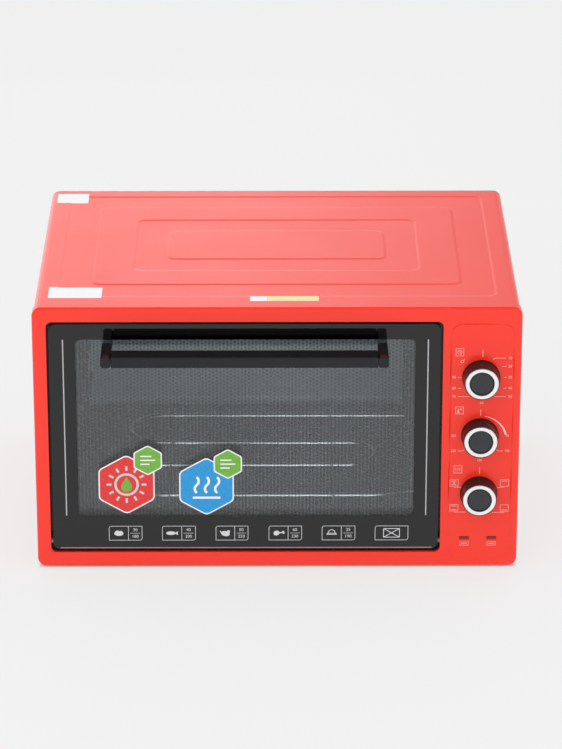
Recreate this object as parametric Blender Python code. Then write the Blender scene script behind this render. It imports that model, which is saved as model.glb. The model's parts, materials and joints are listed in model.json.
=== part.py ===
"""Countertop mini oven: steel casing, cavity with tube heaters, drop-down glass door and three controls.

The oven stands on z = 0 and faces -Y. Depths are measured back from the front face, heights up from the
casing's lower edge, and widths from the middle of the casing.
"""

import math
from collections import namedtuple

import bmesh
import bpy
from mathutils import Matrix, Vector

Rect = namedtuple("Rect", "left right low high")

# Sheet metal and fits
SHEET = 0.0010
LINER_SHEET = 0.0008
SEAT_GAP = 0.0003
OVERRUN = 0.0020
MERGE_DISTANCE = 0.00001
LEAST_CORNER = 0.0008

# Casing
CASING_WIDTH = 0.520
CASING_HEIGHT = 0.301
BODY_DEPTH = 0.381
FOOT_HEIGHT = 0.004
FRAME_CORNER = 0.010
FRAME_ROLL = 0.004
FRAME_FLANGE = 0.022
WRAP_RETURN = 0.010
BASE_FLANGE = 0.008
BACK_FLANGE = 0.010

# Door opening in the front frame, by the widths of the frame around it
JAMB_WIDTH = 0.015
CONTROL_SIDE_WIDTH = 0.0837
SILL_HEIGHT = 0.0178
HEAD_HEIGHT = 0.0156
OPENING_CORNER = 0.006
OPENING_EDGE = 0.0012
OPENING_LIP = 0.0045

# Control panel, pressed back into the front frame
PANEL_GAP = 0.0077
PANEL_SIDE_MARGIN = 0.0075
PANEL_LOW = 0.010
PANEL_HEAD_MARGIN = 0.0176
PANEL_CORNER = 0.013
PANEL_RECESS = 0.0008
PANEL_SLOPE = 0.0015

# Embossed rings in the casing top
EMBOSS_DEPTH = 0.0010
EMBOSS_SLOPE = 0.0022
EMBOSS_CORNER = 0.010
EMBOSS_SIDE_MARGIN = 0.024
EMBOSS_FRONT_DEPTH = 0.038
EMBOSS_BACK_MARGIN = 0.019
EMBOSS_PITCH = 0.0395

# Cooling slots
SLOT_HEIGHT = 0.0035
SLOT_PITCH = 0.0095
SIDE_SLOT_LENGTH = 0.060
SIDE_SLOT_ROWS = 4
SIDE_SLOT_COLUMNS = 2
SIDE_SLOT_HEIGHT_UP = 0.058
SIDE_SLOT_DEPTH = 0.130
BACK_SLOT_LENGTH = 0.070
BACK_SLOT_ROWS = 5
BACK_SLOT_COLUMNS = 3
BACK_SLOT_HEIGHT_UP = 0.170
BASE_SLOT_LENGTH = 0.050
BASE_SLOT_ROWS = 5
BASE_SLOT_DEPTH = 0.130
SLOT_COLUMN_GAP = 0.016

# Baking cavity
CAVITY_SIDE_INSET = 0.025
CAVITY_CONTROL_INSET = 0.0253
CAVITY_LOW = 0.050
CAVITY_TOP_INSET = 0.0074
CAVITY_BACK_SPACE = 0.031
CAVITY_CORNER = 0.004
CAVITY_BACK_ROLL = 0.008
LIP_DEPTH = 0.0185
LIP_MARGIN = 0.005
LIP_CORNER = 0.010
MOUTH_BEAD = 0.006
MOUTH_BEAD_RISE = 0.0020
LEDGE_REACH = 0.007
LEDGE_HEIGHT = 0.009
LEDGE_FLAT = 0.004
LEDGE_START = 0.040
LEDGE_END_GAP = 0.015
LEDGE_FIRST = 0.092
LEDGE_PITCH = 0.055
LEDGE_COUNT = 3

# Tube heaters
TUBE_RADIUS = 0.0035
PIN_RADIUS = 0.0016
PASS_SHARES = (0.137, 0.388, 0.578, 0.819)
TURN_LEFT_GAP = 0.093
TURN_RIGHT_GAP = 0.072
LOWER_HEATER_UP = 0.0076
UPPER_HEATER_DOWN = 0.012
LEG_OFFSET = 0.010
LEG_BEND_START_GAP = 0.043
LEG_BEND_END_GAP = 0.009
LEG_LENGTH = 0.006
PIN_LENGTH = 0.011
HEATER_PLATE = 0.0015
HEATER_PLATE_HALF = 0.006
HEATER_PLATE_MARGIN = 0.012
STRIP_THICKNESS = 0.0010
STRIP_EDGE = 0.0035
STRIP_MARGIN = 0.012
LEFT_STRIP_INSET = 0.009
RIGHT_STRIP_INSET = 0.017

# Door
DOOR_GAP = 0.0023
DOOR_LOW_GAP = 0.0032
GLASS_SETBACK = 0.0010
GLASS_THICKNESS = 0.004
GLASS_CORNER = 0.008
GLASS_EDGE = 0.0010
PAN_INSET = 0.0005
PAN_DEPTH = 0.0107
PAN_SHEET = 0.0012
PAN_ROLL = 0.005
WINDOW_SIDE_INSET = 0.0275
WINDOW_CONTROL_INSET = 0.0263
WINDOW_LOW = 0.054
WINDOW_TOP_INSET = 0.0164
WINDOW_CORNER = 0.006
INNER_GLASS_LAP = 0.008
INNER_GLASS_THICKNESS = 0.003
SPACER_WIDTH = 0.006

# Door hinge
HINGE_DEPTH = 0.009
HINGE_HEIGHT = 0.028
HINGE_PIN_RADIUS = 0.002
HINGE_COLLAR_RADIUS = 0.0034
HINGE_PIN_REACH = 0.007
HINGE_PLATE = 0.002
HINGE_PLATE_TOP = 0.020
HINGE_PLATE_HALF = 0.0058

# Handle
HANDLE_LEFT_INSET = 0.0588
HANDLE_RIGHT_INSET = 0.0588
HANDLE_DROP = 0.0239
HANDLE_HEIGHT = 0.0120
HANDLE_REACH = 0.0428
HANDLE_BAR_DEPTH = 0.022
HANDLE_WALL = 0.0025
HANDLE_EDGE = 0.0014
BRACKET_WIDTH = 0.011
BRACKET_CORNER = 0.0030

# Rotary controls
KNOB_SIDE_MARGIN = 0.04285
TIMER_SHARE = 0.7740
THERMOSTAT_SHARE = 0.5285
SELECTOR_SHARE = 0.2809
KNOB_BASE_RADIUS = 0.0202
KNOB_NECK_RADIUS = 0.0186
KNOB_REACH = 0.0190
KNOB_STANDOFF = 0.0006
KNOB_WALL = 0.0022
KNOB_SKIRT_FOOT = 0.0014
KNOB_CAP_DROP = 0.0006
KNOB_CAP_EDGE = 0.0010
RING_RADIUS = 0.0177
RING_BORE = 0.0131
RING_THICKNESS = 0.0022
RING_EDGE = 0.0007
HUB_RADIUS = 0.0062
HUB_SHORT = 0.0010
HUB_DEPTH = 0.0120
SHAFT_RADIUS = 0.0030
SHAFT_FLAT = 0.0019
SHAFT_SEAT = 0.010
PANEL_HOLE_RADIUS = 0.0048
TIMER_HALF = 0.0215
TIMER_DEPTH = 0.030
TIMER_BELL_RADIUS = 0.019
TIMER_BELL_DEPTH = 0.009
THERMOSTAT_RADIUS = 0.019
THERMOSTAT_DEPTH = 0.020
THERMOSTAT_STRAP_HALF = 0.008
THERMOSTAT_STRAP_REACH = 0.027
SELECTOR_HALF = 0.0165
SELECTOR_DEPTH = 0.036
SELECTOR_WAFERS = 3
SELECTOR_GROOVE = 0.0015
CONTROL_PLATE = 0.0015
CONTROL_CORNER = 0.004

# Indicator lamps
LENS_WIDTH = 0.010
LENS_HEIGHT = 0.0034
LENS_CORNER = 0.0008
LENS_PROUD = 0.0005
LENS_FLANGE = 0.0016
LENS_FLANGE_THICKNESS = 0.0015
LENS_UP = 0.034
LENS_SPREAD = 0.0148
LAMP_RADIUS = 0.003
LAMP_LENGTH = 0.018
LAMP_TIP = 0.0015

# Feet
FOOT_RADIUS = 0.014
FOOT_TOE_RADIUS = 0.0115
FOOT_EDGE = 0.0012
FOOT_STEM_RADIUS = 0.004
FOOT_STEM_LENGTH = 0.003
FOOT_SIDE_MARGIN = 0.048
FOOT_FRONT_DEPTH = 0.062
FOOT_BACK_MARGIN = 0.053

# Mains connection
GLAND_SIDE_MARGIN = 0.060
GLAND_UP = 0.046
GLAND_RADIUS = 0.0085
GLAND_FLANGE_RADIUS = 0.0115
GLAND_NOSE_RADIUS = 0.0062
GLAND_BORE = 0.0036
GLAND_FLANGE = 0.0025
GLAND_REACH = 0.012
GLAND_TAIL = 0.006
BLOCK_WIDTH = 0.046
BLOCK_LENGTH = 0.018
BLOCK_HEIGHT = 0.016
BLOCK_SHOULDER = 0.009
BLOCK_EDGE = 0.002
BLOCK_BACK_MARGIN = 0.083
BLOCK_WELLS = 3
WELL_RADIUS = 0.0030
WELL_DEPTH = 0.009

# Faceting
CORNER_STEPS = 4
SMALL_STEPS = 2
ROLL_STEPS = 3
BEND_STEPS = 8
ROUND_STEPS = 24
HOLE_STEPS = 12
SLOT_END_STEPS = 3
TUBE_SIDES_RESOLUTION = 2
SMOOTH_ANGLE = math.radians(32)

# Places that follow from the sizes above
FACE_Y = (HANDLE_REACH - GLASS_SETBACK - BODY_DEPTH - GLAND_REACH) / 2
CASING_HALF = CASING_WIDTH / 2
OPENING_LEFT = JAMB_WIDTH - CASING_HALF
OPENING_RIGHT = CASING_HALF - CONTROL_SIDE_WIDTH
OPENING_HIGH = CASING_HEIGHT - HEAD_HEIGHT
PANEL_RIGHT = CASING_HALF - PANEL_SIDE_MARGIN
PANEL_HIGH = CASING_HEIGHT - PANEL_HEAD_MARGIN
PANEL_BACK = PANEL_RECESS + SHEET
WRAP_HALF = CASING_HALF - SHEET - SEAT_GAP
WRAP_TOP = CASING_HEIGHT - SHEET - SEAT_GAP
WRAP_LOW = SHEET + SEAT_GAP
WRAP_FRONT = FRAME_ROLL + SEAT_GAP
WRAP_CORNER = FRAME_CORNER - SHEET - SEAT_GAP
INNER_HALF = WRAP_HALF - SHEET - SEAT_GAP
INNER_TOP = WRAP_TOP - SHEET - SEAT_GAP
BASE_LOW = WRAP_LOW + SHEET + SEAT_GAP
BASE_HALF = WRAP_HALF - WRAP_CORNER
GLASS_BACK = GLASS_SETBACK + GLASS_THICKNESS
PAN_FRONT = GLASS_BACK + SEAT_GAP
PAN_BACK = PAN_FRONT + PAN_DEPTH
CAVITY_LEFT = OPENING_LEFT + CAVITY_SIDE_INSET
CAVITY_RIGHT = OPENING_RIGHT - CAVITY_CONTROL_INSET
CAVITY_HIGH = OPENING_HIGH - CAVITY_TOP_INSET
CAVITY_BACK = BODY_DEPTH - CAVITY_BACK_SPACE
PASS_DEPTHS = [LIP_DEPTH + share * (CAVITY_BACK - LIP_DEPTH) for share in PASS_SHARES]
LEG_DEPTHS = (PASS_DEPTHS[0] + LEG_OFFSET, PASS_DEPTHS[-1])
TURN_LEFT = CAVITY_LEFT + TURN_LEFT_GAP
TURN_RIGHT = CAVITY_RIGHT - TURN_RIGHT_GAP
STRIP_PLACES = (TURN_LEFT + LEFT_STRIP_INSET, TURN_RIGHT - RIGHT_STRIP_INSET)
LOWER_HEATER_HEIGHT = CAVITY_LOW + LOWER_HEATER_UP
UPPER_HEATER_HEIGHT = CAVITY_HIGH - UPPER_HEATER_DOWN
HEATER_HEIGHTS = (LOWER_HEATER_HEIGHT, UPPER_HEATER_HEIGHT)
HANDLE_LEFT = OPENING_LEFT + HANDLE_LEFT_INSET
HANDLE_RIGHT = OPENING_RIGHT - HANDLE_RIGHT_INSET
HANDLE_HIGH = OPENING_HIGH - HANDLE_DROP
HANDLE_LOW = HANDLE_HIGH - HANDLE_HEIGHT
KNOB_X = CASING_HALF - KNOB_SIDE_MARGIN
TIMER_HEIGHT = PANEL_LOW + TIMER_SHARE * (PANEL_HIGH - PANEL_LOW)
THERMOSTAT_HEIGHT = PANEL_LOW + THERMOSTAT_SHARE * (PANEL_HIGH - PANEL_LOW)
SELECTOR_HEIGHT = PANEL_LOW + SELECTOR_SHARE * (PANEL_HIGH - PANEL_LOW)
KNOB_HEIGHTS = (TIMER_HEIGHT, THERMOSTAT_HEIGHT, SELECTOR_HEIGHT)
LENS_PLACES = (KNOB_X - LENS_SPREAD, KNOB_X + LENS_SPREAD)
FOOT_SPREAD = CASING_HALF - FOOT_SIDE_MARGIN
FOOT_BACK_DEPTH = BODY_DEPTH - FOOT_BACK_MARGIN
GLAND_X = CASING_HALF - GLAND_SIDE_MARGIN
BLOCK_DEPTH = BODY_DEPTH - BLOCK_BACK_MARGIN


def at(depth):
    """The row's y of a depth behind the front face."""
    return FACE_Y + depth


def up(height):
    """The row's z of a height above the casing's lower edge."""
    return FOOT_HEIGHT + height


def grown(rect, by):
    return Rect(rect.left - by, rect.right + by, rect.low - by, rect.high + by)


def square(x, z, half):
    return Rect(x - half, x + half, z - half, z + half)


def raised(left, right, low, high):
    """A rectangle seen from the front, its heights given above the casing's lower edge."""
    return Rect(left, right, up(low), up(high))


OPENING = raised(OPENING_LEFT, OPENING_RIGHT, SILL_HEIGHT, OPENING_HIGH)
PANEL = raised(OPENING_RIGHT + PANEL_GAP, PANEL_RIGHT, PANEL_LOW, PANEL_HIGH)
CAVITY = raised(CAVITY_LEFT, CAVITY_RIGHT, CAVITY_LOW, CAVITY_HIGH)
WINDOW = raised(
    OPENING_LEFT + WINDOW_SIDE_INSET,
    OPENING_RIGHT - WINDOW_CONTROL_INSET,
    WINDOW_LOW,
    OPENING_HIGH - WINDOW_TOP_INSET,
)
GLASS = raised(
    OPENING_LEFT + DOOR_GAP,
    OPENING_RIGHT - DOOR_GAP,
    SILL_HEIGHT + DOOR_LOW_GAP,
    OPENING_HIGH - DOOR_GAP,
)
PAN = grown(GLASS, -PAN_INSET)
LIP = grown(OPENING, LIP_MARGIN)

PLACED = {
    "x": lambda a, b, t: (t, a, b),
    "y": lambda a, b, t: (a, t, b),
    "z": lambda a, b, t: (a, b, t),
}
ACROSS = {"x": Vector((0, 1, 0)), "y": Vector((1, 0, 0)), "z": Vector((1, 0, 0))}
ALONG = {"x": Vector((1, 0, 0)), "y": Vector((0, 1, 0)), "z": Vector((0, 0, 1))}


# Outlines


def arc(centre, radius, start, end, steps):
    """Points on a round stretch of an outline, both ends included; angles in degrees."""
    points = []
    for i in range(steps + 1):
        angle = math.radians(start + (end - start) * i / steps)
        points.append((centre[0] + radius * math.cos(angle), centre[1] + radius * math.sin(angle)))
    return points


def rounded(rect, radius, steps=CORNER_STEPS):
    """A rectangle with round corners, anticlockwise."""
    return (
        arc((rect.right - radius, rect.low + radius), radius, -90, 0, steps)
        + arc((rect.right - radius, rect.high - radius), radius, 0, 90, steps)
        + arc((rect.left + radius, rect.high - radius), radius, 90, 180, steps)
        + arc((rect.left + radius, rect.low + radius), radius, 180, 270, steps)
    )


def circle(centre, radius, steps=HOLE_STEPS):
    return arc(centre, radius, 0, 360, steps)[:-1]


def d_outline(centre, radius, flat, steps=HOLE_STEPS):
    """A round shaft with one flat, which lies flat away from the centre, on top."""
    edge = math.degrees(math.asin(flat / radius))
    return arc(centre, radius, 180 - edge, 360 + edge, steps)


def slot(left, right, low):
    """A round-ended slot of the common height, anticlockwise."""
    radius = SLOT_HEIGHT / 2
    middle = low + radius
    ends = arc((right - radius, middle), radius, -90, 90, SLOT_END_STEPS)
    return ends + arc((left + radius, middle), radius, 90, 270, SLOT_END_STEPS)


# Solids


def make_object(name, bm, material):
    bmesh.ops.recalc_face_normals(bm, faces=bm.faces)
    mesh = bpy.data.meshes.new(name)
    bm.to_mesh(mesh)
    bm.free()
    mesh.shade_smooth()
    mesh.set_sharp_from_angle(angle=SMOOTH_ANGLE)
    if material:
        mesh.materials.append(material)
    thing = bpy.data.objects.new(name, mesh)
    bpy.context.scene.collection.objects.link(thing)
    return thing


def add_loft(bm, axis, sections, ring=False):
    """Skins outlines with equal point counts, point to point; a ring's last outline meets its first."""
    loops = []
    for outline, place in sections:
        loops.append([bm.verts.new(PLACED[axis](a, b, place)) for a, b in outline])
    pairs = list(zip(loops, loops[1:]))
    if ring:
        pairs.append((loops[-1], loops[0]))
    for near, far in pairs:
        for i in range(len(near)):
            bm.faces.new((near[i - 1], near[i], far[i], far[i - 1]))
    if not ring:
        bm.faces.new(loops[0])
        bm.faces.new(loops[-1])


def loft(name, material, axis, sections, ring=False):
    bm = bmesh.new()
    add_loft(bm, axis, sections, ring)
    return make_object(name, bm, material)


def prism(name, material, axis, outline, start, end):
    return loft(name, material, axis, [(outline, start), (outline, end)])


def prisms(name, axis, outlines, start, end):
    """Several separate prisms in one object, for use as a cutter or as ribs to be joined on."""
    bm = bmesh.new()
    for outline in outlines:
        add_loft(bm, axis, [(outline, start), (outline, end)])
    return make_object(name, bm, None)


def stacked(name, material, axis, rect, corner, levels, steps=CORNER_STEPS):
    """A round-cornered block whose sections are inset by the first value of each level at its second."""
    sections = []
    for inset, place in levels:
        section = rounded(grown(rect, -inset), max(corner - inset, LEAST_CORNER), steps)
        sections.append((section, place))
    return loft(name, material, axis, sections)


def rolled_levels(roll, edge, inward):
    """Levels of a rolled edge that ends square to the face at edge; inward is +1 or -1 along the axis."""
    levels = []
    for i in range(ROLL_STEPS + 1):
        angle = math.pi / 2 * i / ROLL_STEPS
        levels.append((roll * (1 - math.sin(angle)), edge + inward * roll * (1 - math.cos(angle))))
    return levels


def turned(name, material, axis, centre, profile, steps=ROUND_STEPS, closed=False):
    """A body turned about an axis through centre; the profile gives radius and place along the axis."""
    bm = bmesh.new()
    middle = Vector(centre)
    verts = []
    for radius, place in profile:
        verts.append(bm.verts.new(middle + ACROSS[axis] * radius + ALONG[axis] * place))
    edges = [bm.edges.new(pair) for pair in zip(verts, verts[1:])]
    if closed:
        edges.append(bm.edges.new((verts[-1], verts[0])))
    bmesh.ops.spin(
        bm,
        geom=verts + edges,
        cent=middle,
        axis=ALONG[axis],
        angle=2 * math.pi,
        steps=steps,
        use_merge=True,
    )
    bmesh.ops.remove_doubles(bm, verts=bm.verts, dist=MERGE_DISTANCE)
    return make_object(name, bm, material)


def boolean(target, tool, operation):
    modifier = target.modifiers.new(tool.name, "BOOLEAN")
    modifier.object = tool
    modifier.operation = operation
    modifier.solver = "EXACT"
    tool.hide_render = True
    tool.display_type = "WIRE"
    return target


def cut(target, *tools):
    for tool in tools:
        boolean(target, tool, "DIFFERENCE")


def add(target, *tools):
    for tool in tools:
        boolean(target, tool, "UNION")


def finish(name, colour, roughness, metallic=0.0, alpha=1.0):
    material = bpy.data.materials.new(name)
    material.use_nodes = True
    shader = material.node_tree.nodes["Principled BSDF"]
    shader.inputs["Base Color"].default_value = (*colour, 1.0)
    shader.inputs["Roughness"].default_value = roughness
    shader.inputs["Metallic"].default_value = metallic
    shader.inputs["Alpha"].default_value = alpha
    material.diffuse_color = (*colour, alpha)
    return material


# Casing


def slot_grid(across_centre, first_up, rows, columns, length, pitch=SLOT_PITCH):
    """Outlines of a bank of round-ended slots, rows upwards and columns side by side."""
    outlines = []
    step = length + SLOT_COLUMN_GAP
    for column in range(columns):
        middle = across_centre + (column - (columns - 1) / 2) * step
        for row in range(rows):
            outlines.append(slot(middle - length / 2, middle + length / 2, first_up + row * pitch))
    return outlines


def front_frame(material):
    """Pressed surround with a rolled outer edge, the door opening and the sunk control panel."""
    outer = raised(-CASING_HALF, CASING_HALF, 0, CASING_HEIGHT)
    levels = rolled_levels(FRAME_ROLL, at(0), 1)
    frame = stacked("front_frame", material, "y", outer, FRAME_CORNER, levels + [(0, at(FRAME_FLANGE))])

    inside_levels = rolled_levels(FRAME_ROLL - SHEET, at(SHEET), 1)
    inside = stacked(
        "front_frame_inside",
        None,
        "y",
        grown(outer, -SHEET),
        FRAME_CORNER - SHEET,
        inside_levels + [(0, at(FRAME_FLANGE + OVERRUN))],
    )
    cut(frame, inside)

    panel_behind = stacked(
        "panel_behind",
        None,
        "y",
        grown(PANEL, SHEET),
        PANEL_CORNER + SHEET,
        [(0, at(SHEET / 2)), (0, at(SHEET)), (PANEL_SLOPE, at(PANEL_BACK))],
    )
    rim = prism(
        "opening_rim",
        None,
        "y",
        rounded(grown(OPENING, SHEET), OPENING_CORNER + SHEET),
        at(SHEET / 2),
        at(OPENING_LIP),
    )
    add(frame, panel_behind, rim)

    panel_front = stacked(
        "panel_front",
        None,
        "y",
        PANEL,
        PANEL_CORNER,
        [(-PANEL_SLOPE, at(-PANEL_RECESS)), (PANEL_SLOPE, at(PANEL_RECESS))],
    )
    opening_levels = [(-OPENING_EDGE, at(-OVERRUN)), (-OPENING_EDGE, at(0)), (0, at(OPENING_EDGE))]
    opening = stacked(
        "door_opening",
        None,
        "y",
        OPENING,
        OPENING_CORNER,
        opening_levels + [(0, at(OPENING_LIP + OVERRUN))],
    )
    holes = [circle((KNOB_X, up(height)), PANEL_HOLE_RADIUS) for height in KNOB_HEIGHTS]
    shaft_holes = prisms("shaft_holes", "y", holes, at(-OVERRUN), at(PANEL_BACK + OVERRUN))
    slots = [rounded(grown(lens_rect(x), SEAT_GAP), LENS_CORNER + SEAT_GAP, SMALL_STEPS) for x in LENS_PLACES]
    lens_slots = prisms("lens_slots", "y", slots, at(-OVERRUN), at(PANEL_BACK + OVERRUN))
    cut(frame, panel_front, opening, shaft_holes, lens_slots)
    return frame


def wrap_outline():
    """The casing's folded sheet seen from the front: round three sides, with a short return under each."""
    corners = [
        (WRAP_HALF - WRAP_CORNER, up(WRAP_LOW) + WRAP_CORNER, -90),
        (WRAP_HALF - WRAP_CORNER, up(WRAP_TOP) - WRAP_CORNER, 0),
        (-WRAP_HALF + WRAP_CORNER, up(WRAP_TOP) - WRAP_CORNER, 90),
        (-WRAP_HALF + WRAP_CORNER, up(WRAP_LOW) + WRAP_CORNER, 180),
    ]
    end = BASE_HALF - WRAP_RETURN
    outline = [(end, up(WRAP_LOW))]
    for x, z, start in corners:
        outline += arc((x, z), WRAP_CORNER, start, start + 90, CORNER_STEPS)
    outline += [(-end, up(WRAP_LOW)), (-end, up(WRAP_LOW) + SHEET)]
    for x, z, start in corners[::-1]:
        outline += arc((x, z), WRAP_CORNER - SHEET, start + 90, start, CORNER_STEPS)
    outline.append((end, up(WRAP_LOW) + SHEET))
    return outline


def emboss_rect(index, by=0.0):
    """The index-th outline of the pressing on the casing top, counted inwards and grown by a length."""
    half_width = CASING_HALF - EMBOSS_SIDE_MARGIN
    front = at(EMBOSS_FRONT_DEPTH)
    back = at(BODY_DEPTH - EMBOSS_BACK_MARGIN)
    return grown(Rect(-half_width, half_width, front, back), by - index * EMBOSS_PITCH)


def emboss_ring(name, index, surface, rise):
    """A sloped ring between two outlines, from rise above a surface to the pressing's depth below it."""
    spread = EMBOSS_SLOPE * rise / EMBOSS_DEPTH
    high = surface + rise
    low = surface - EMBOSS_DEPTH
    sections = [
        (rounded(emboss_rect(index, spread), EMBOSS_CORNER + spread), high),
        (rounded(emboss_rect(index, -EMBOSS_SLOPE), EMBOSS_CORNER - EMBOSS_SLOPE), low),
        (rounded(emboss_rect(index + 1, EMBOSS_SLOPE), EMBOSS_CORNER + EMBOSS_SLOPE), low),
        (rounded(emboss_rect(index + 1, -spread), EMBOSS_CORNER - spread), high),
    ]
    return loft(name, None, "z", sections, ring=True)


def cabinet_wrap(material):
    """Top and sides in one folded sheet, with ring pressings on top and cooling slots in both sides."""
    back = at(BODY_DEPTH - SHEET - SEAT_GAP)
    wrap = prism("cabinet_wrap", material, "y", wrap_outline(), at(WRAP_FRONT), back)
    top = up(WRAP_TOP)
    for index in (0, 2):
        backing = emboss_ring(f"emboss_backing_{index}", index, top - SHEET, SHEET / 2)
        add(wrap, backing)
    for index in (0, 2):
        groove = emboss_ring(f"emboss_groove_{index}", index, top, EMBOSS_DEPTH)
        cut(wrap, groove)
    low = up(SIDE_SLOT_HEIGHT_UP)
    outlines = slot_grid(at(SIDE_SLOT_DEPTH), low, SIDE_SLOT_ROWS, SIDE_SLOT_COLUMNS, SIDE_SLOT_LENGTH)
    reach = WRAP_HALF + OVERRUN
    cut(wrap, prisms("side_slots", "x", outlines, -reach, reach))
    return wrap


def base_plate(material):
    """Shallow tray on the returns of the casing, with slots under the controls and holes for the feet."""
    low = up(BASE_LOW)
    outline = [
        (BASE_HALF, low),
        (BASE_HALF, low + BASE_FLANGE),
        (BASE_HALF - SHEET, low + BASE_FLANGE),
        (BASE_HALF - SHEET, low + SHEET),
        (-BASE_HALF + SHEET, low + SHEET),
        (-BASE_HALF + SHEET, low + BASE_FLANGE),
        (-BASE_HALF, low + BASE_FLANGE),
        (-BASE_HALF, low),
    ]
    back = at(BODY_DEPTH - SHEET - BACK_FLANGE - SEAT_GAP)
    plate = prism("base_plate", material, "y", outline, at(WRAP_FRONT), back)
    holes = [circle(centre, FOOT_STEM_RADIUS + SEAT_GAP) for centre in FOOT_CENTRES.values()]
    low_cut = low - OVERRUN
    high_cut = low + SHEET + OVERRUN
    slots = slot_grid(KNOB_X, at(BASE_SLOT_DEPTH), BASE_SLOT_ROWS, 1, BASE_SLOT_LENGTH)
    cut(plate, prisms("foot_holes", "z", holes, low_cut, high_cut))
    cut(plate, prisms("base_slots", "z", slots, low_cut, high_cut))
    return plate


def back_panel(material):
    """Closing panel with a flange that slides inside the casing, slots behind the cavity and a mains hole."""
    outer = Rect(-WRAP_HALF, WRAP_HALF, up(WRAP_LOW), up(WRAP_TOP))
    inner_face = at(BODY_DEPTH - SHEET)
    plate = stacked("back_panel", material, "y", outer, WRAP_CORNER, [(0, inner_face), (0, at(BODY_DEPTH))])
    rim = Rect(-INNER_HALF, INNER_HALF, up(BASE_LOW), up(INNER_TOP))
    rim_corner = WRAP_CORNER - SHEET - SEAT_GAP
    start = at(BODY_DEPTH - SHEET - BACK_FLANGE)
    flange = stacked("back_flange", None, "y", rim, rim_corner, [(0, start), (0, at(BODY_DEPTH - SHEET / 2))])
    hollow = stacked(
        "back_hollow",
        None,
        "y",
        grown(rim, -SHEET),
        rim_corner - SHEET,
        [(0, start - OVERRUN), (0, inner_face)],
    )
    add(plate, flange)
    cut(plate, hollow)
    middle = (CAVITY_LEFT + CAVITY_RIGHT) / 2
    low = up(BACK_SLOT_HEIGHT_UP)
    outlines = slot_grid(middle, low, BACK_SLOT_ROWS, BACK_SLOT_COLUMNS, BACK_SLOT_LENGTH)
    outlines.append(circle((GLAND_X, up(GLAND_UP)), GLAND_RADIUS + SEAT_GAP))
    cut(plate, prisms("back_slots", "y", outlines, inner_face - OVERRUN, at(BODY_DEPTH + OVERRUN)))
    return plate


# Baking cavity


def ledge_outlines(sheet, root):
    """Rack ledges on both walls, thinned by sheet and started at a root length inside the wall's metal."""
    outlines = []
    half = LEDGE_HEIGHT / 2 - sheet
    flat = LEDGE_FLAT / 2 - sheet / 2
    reach = LEDGE_REACH - sheet
    for level in range(LEDGE_COUNT):
        middle = up(LEDGE_FIRST + level * LEDGE_PITCH)
        for wall, inward in ((CAVITY_LEFT, 1), (CAVITY_RIGHT, -1)):
            outlines.append(
                [
                    (wall - inward * root, middle - half),
                    (wall, middle - half),
                    (wall + inward * reach, middle - flat),
                    (wall + inward * reach, middle + flat),
                    (wall, middle + half),
                    (wall - inward * root, middle + half),
                ]
            )
    return outlines


def cavity_liner(material):
    """Baking box with a pressed front surround that the door closes into, a raised mouth and rack ledges."""
    surround = grown(LIP, LINER_SHEET)
    liner = stacked(
        "cavity_liner",
        material,
        "y",
        surround,
        LIP_CORNER + LINER_SHEET,
        [(0, at(SHEET + SEAT_GAP)), (0, at(LIP_DEPTH + LINER_SHEET))],
    )
    tub_back = at(CAVITY_BACK + LINER_SHEET)
    tub_levels = rolled_levels(CAVITY_BACK_ROLL + LINER_SHEET, tub_back, -1)
    tub = stacked(
        "liner_tub",
        None,
        "y",
        grown(CAVITY, LINER_SHEET),
        CAVITY_CORNER + LINER_SHEET,
        [(0, at(LIP_DEPTH + LINER_SHEET / 2))] + tub_levels[::-1],
    )
    recess_levels = [(0, at(SHEET - OVERRUN)), (0, at(LIP_DEPTH))]
    recess = stacked("liner_recess", None, "y", LIP, LIP_CORNER, recess_levels)
    bead = stacked(
        "liner_bead",
        None,
        "y",
        grown(CAVITY, MOUTH_BEAD),
        CAVITY_CORNER + MOUTH_BEAD,
        [(MOUTH_BEAD / 3, at(LIP_DEPTH - MOUTH_BEAD_RISE)), (0, at(LIP_DEPTH + LINER_SHEET / 2))],
    )
    hollow_levels = rolled_levels(CAVITY_BACK_ROLL, at(CAVITY_BACK), -1)
    hollow = stacked(
        "liner_hollow",
        None,
        "y",
        CAVITY,
        CAVITY_CORNER,
        [(0, at(LIP_DEPTH - MOUTH_BEAD_RISE - OVERRUN))] + hollow_levels[::-1],
    )
    start = at(LEDGE_START)
    end = at(CAVITY_BACK - LEDGE_END_GAP)
    ledges = prisms("ledge_ribs", "y", ledge_outlines(0, LINER_SHEET / 2), start, end)
    hollow_lines = ledge_outlines(LINER_SHEET, 2 * LINER_SHEET)
    ledge_hollows = prisms("ledge_hollows", "y", hollow_lines, start + LINER_SHEET, end - LINER_SHEET)
    holes = []
    for height in HEATER_HEIGHTS:
        for depth in LEG_DEPTHS:
            holes.append(circle((at(depth), up(height)), TUBE_RADIUS + SEAT_GAP))
    wall_outside = CAVITY_RIGHT + LINER_SHEET
    leg_holes = prisms("leg_holes", "x", holes, CAVITY_RIGHT - OVERRUN, wall_outside + OVERRUN)
    add(liner, tub)
    cut(liner, recess)
    add(liner, bead)
    cut(liner, hollow)
    add(liner, ledges)
    cut(liner, ledge_hollows, leg_holes)
    return liner


# Heaters


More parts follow.
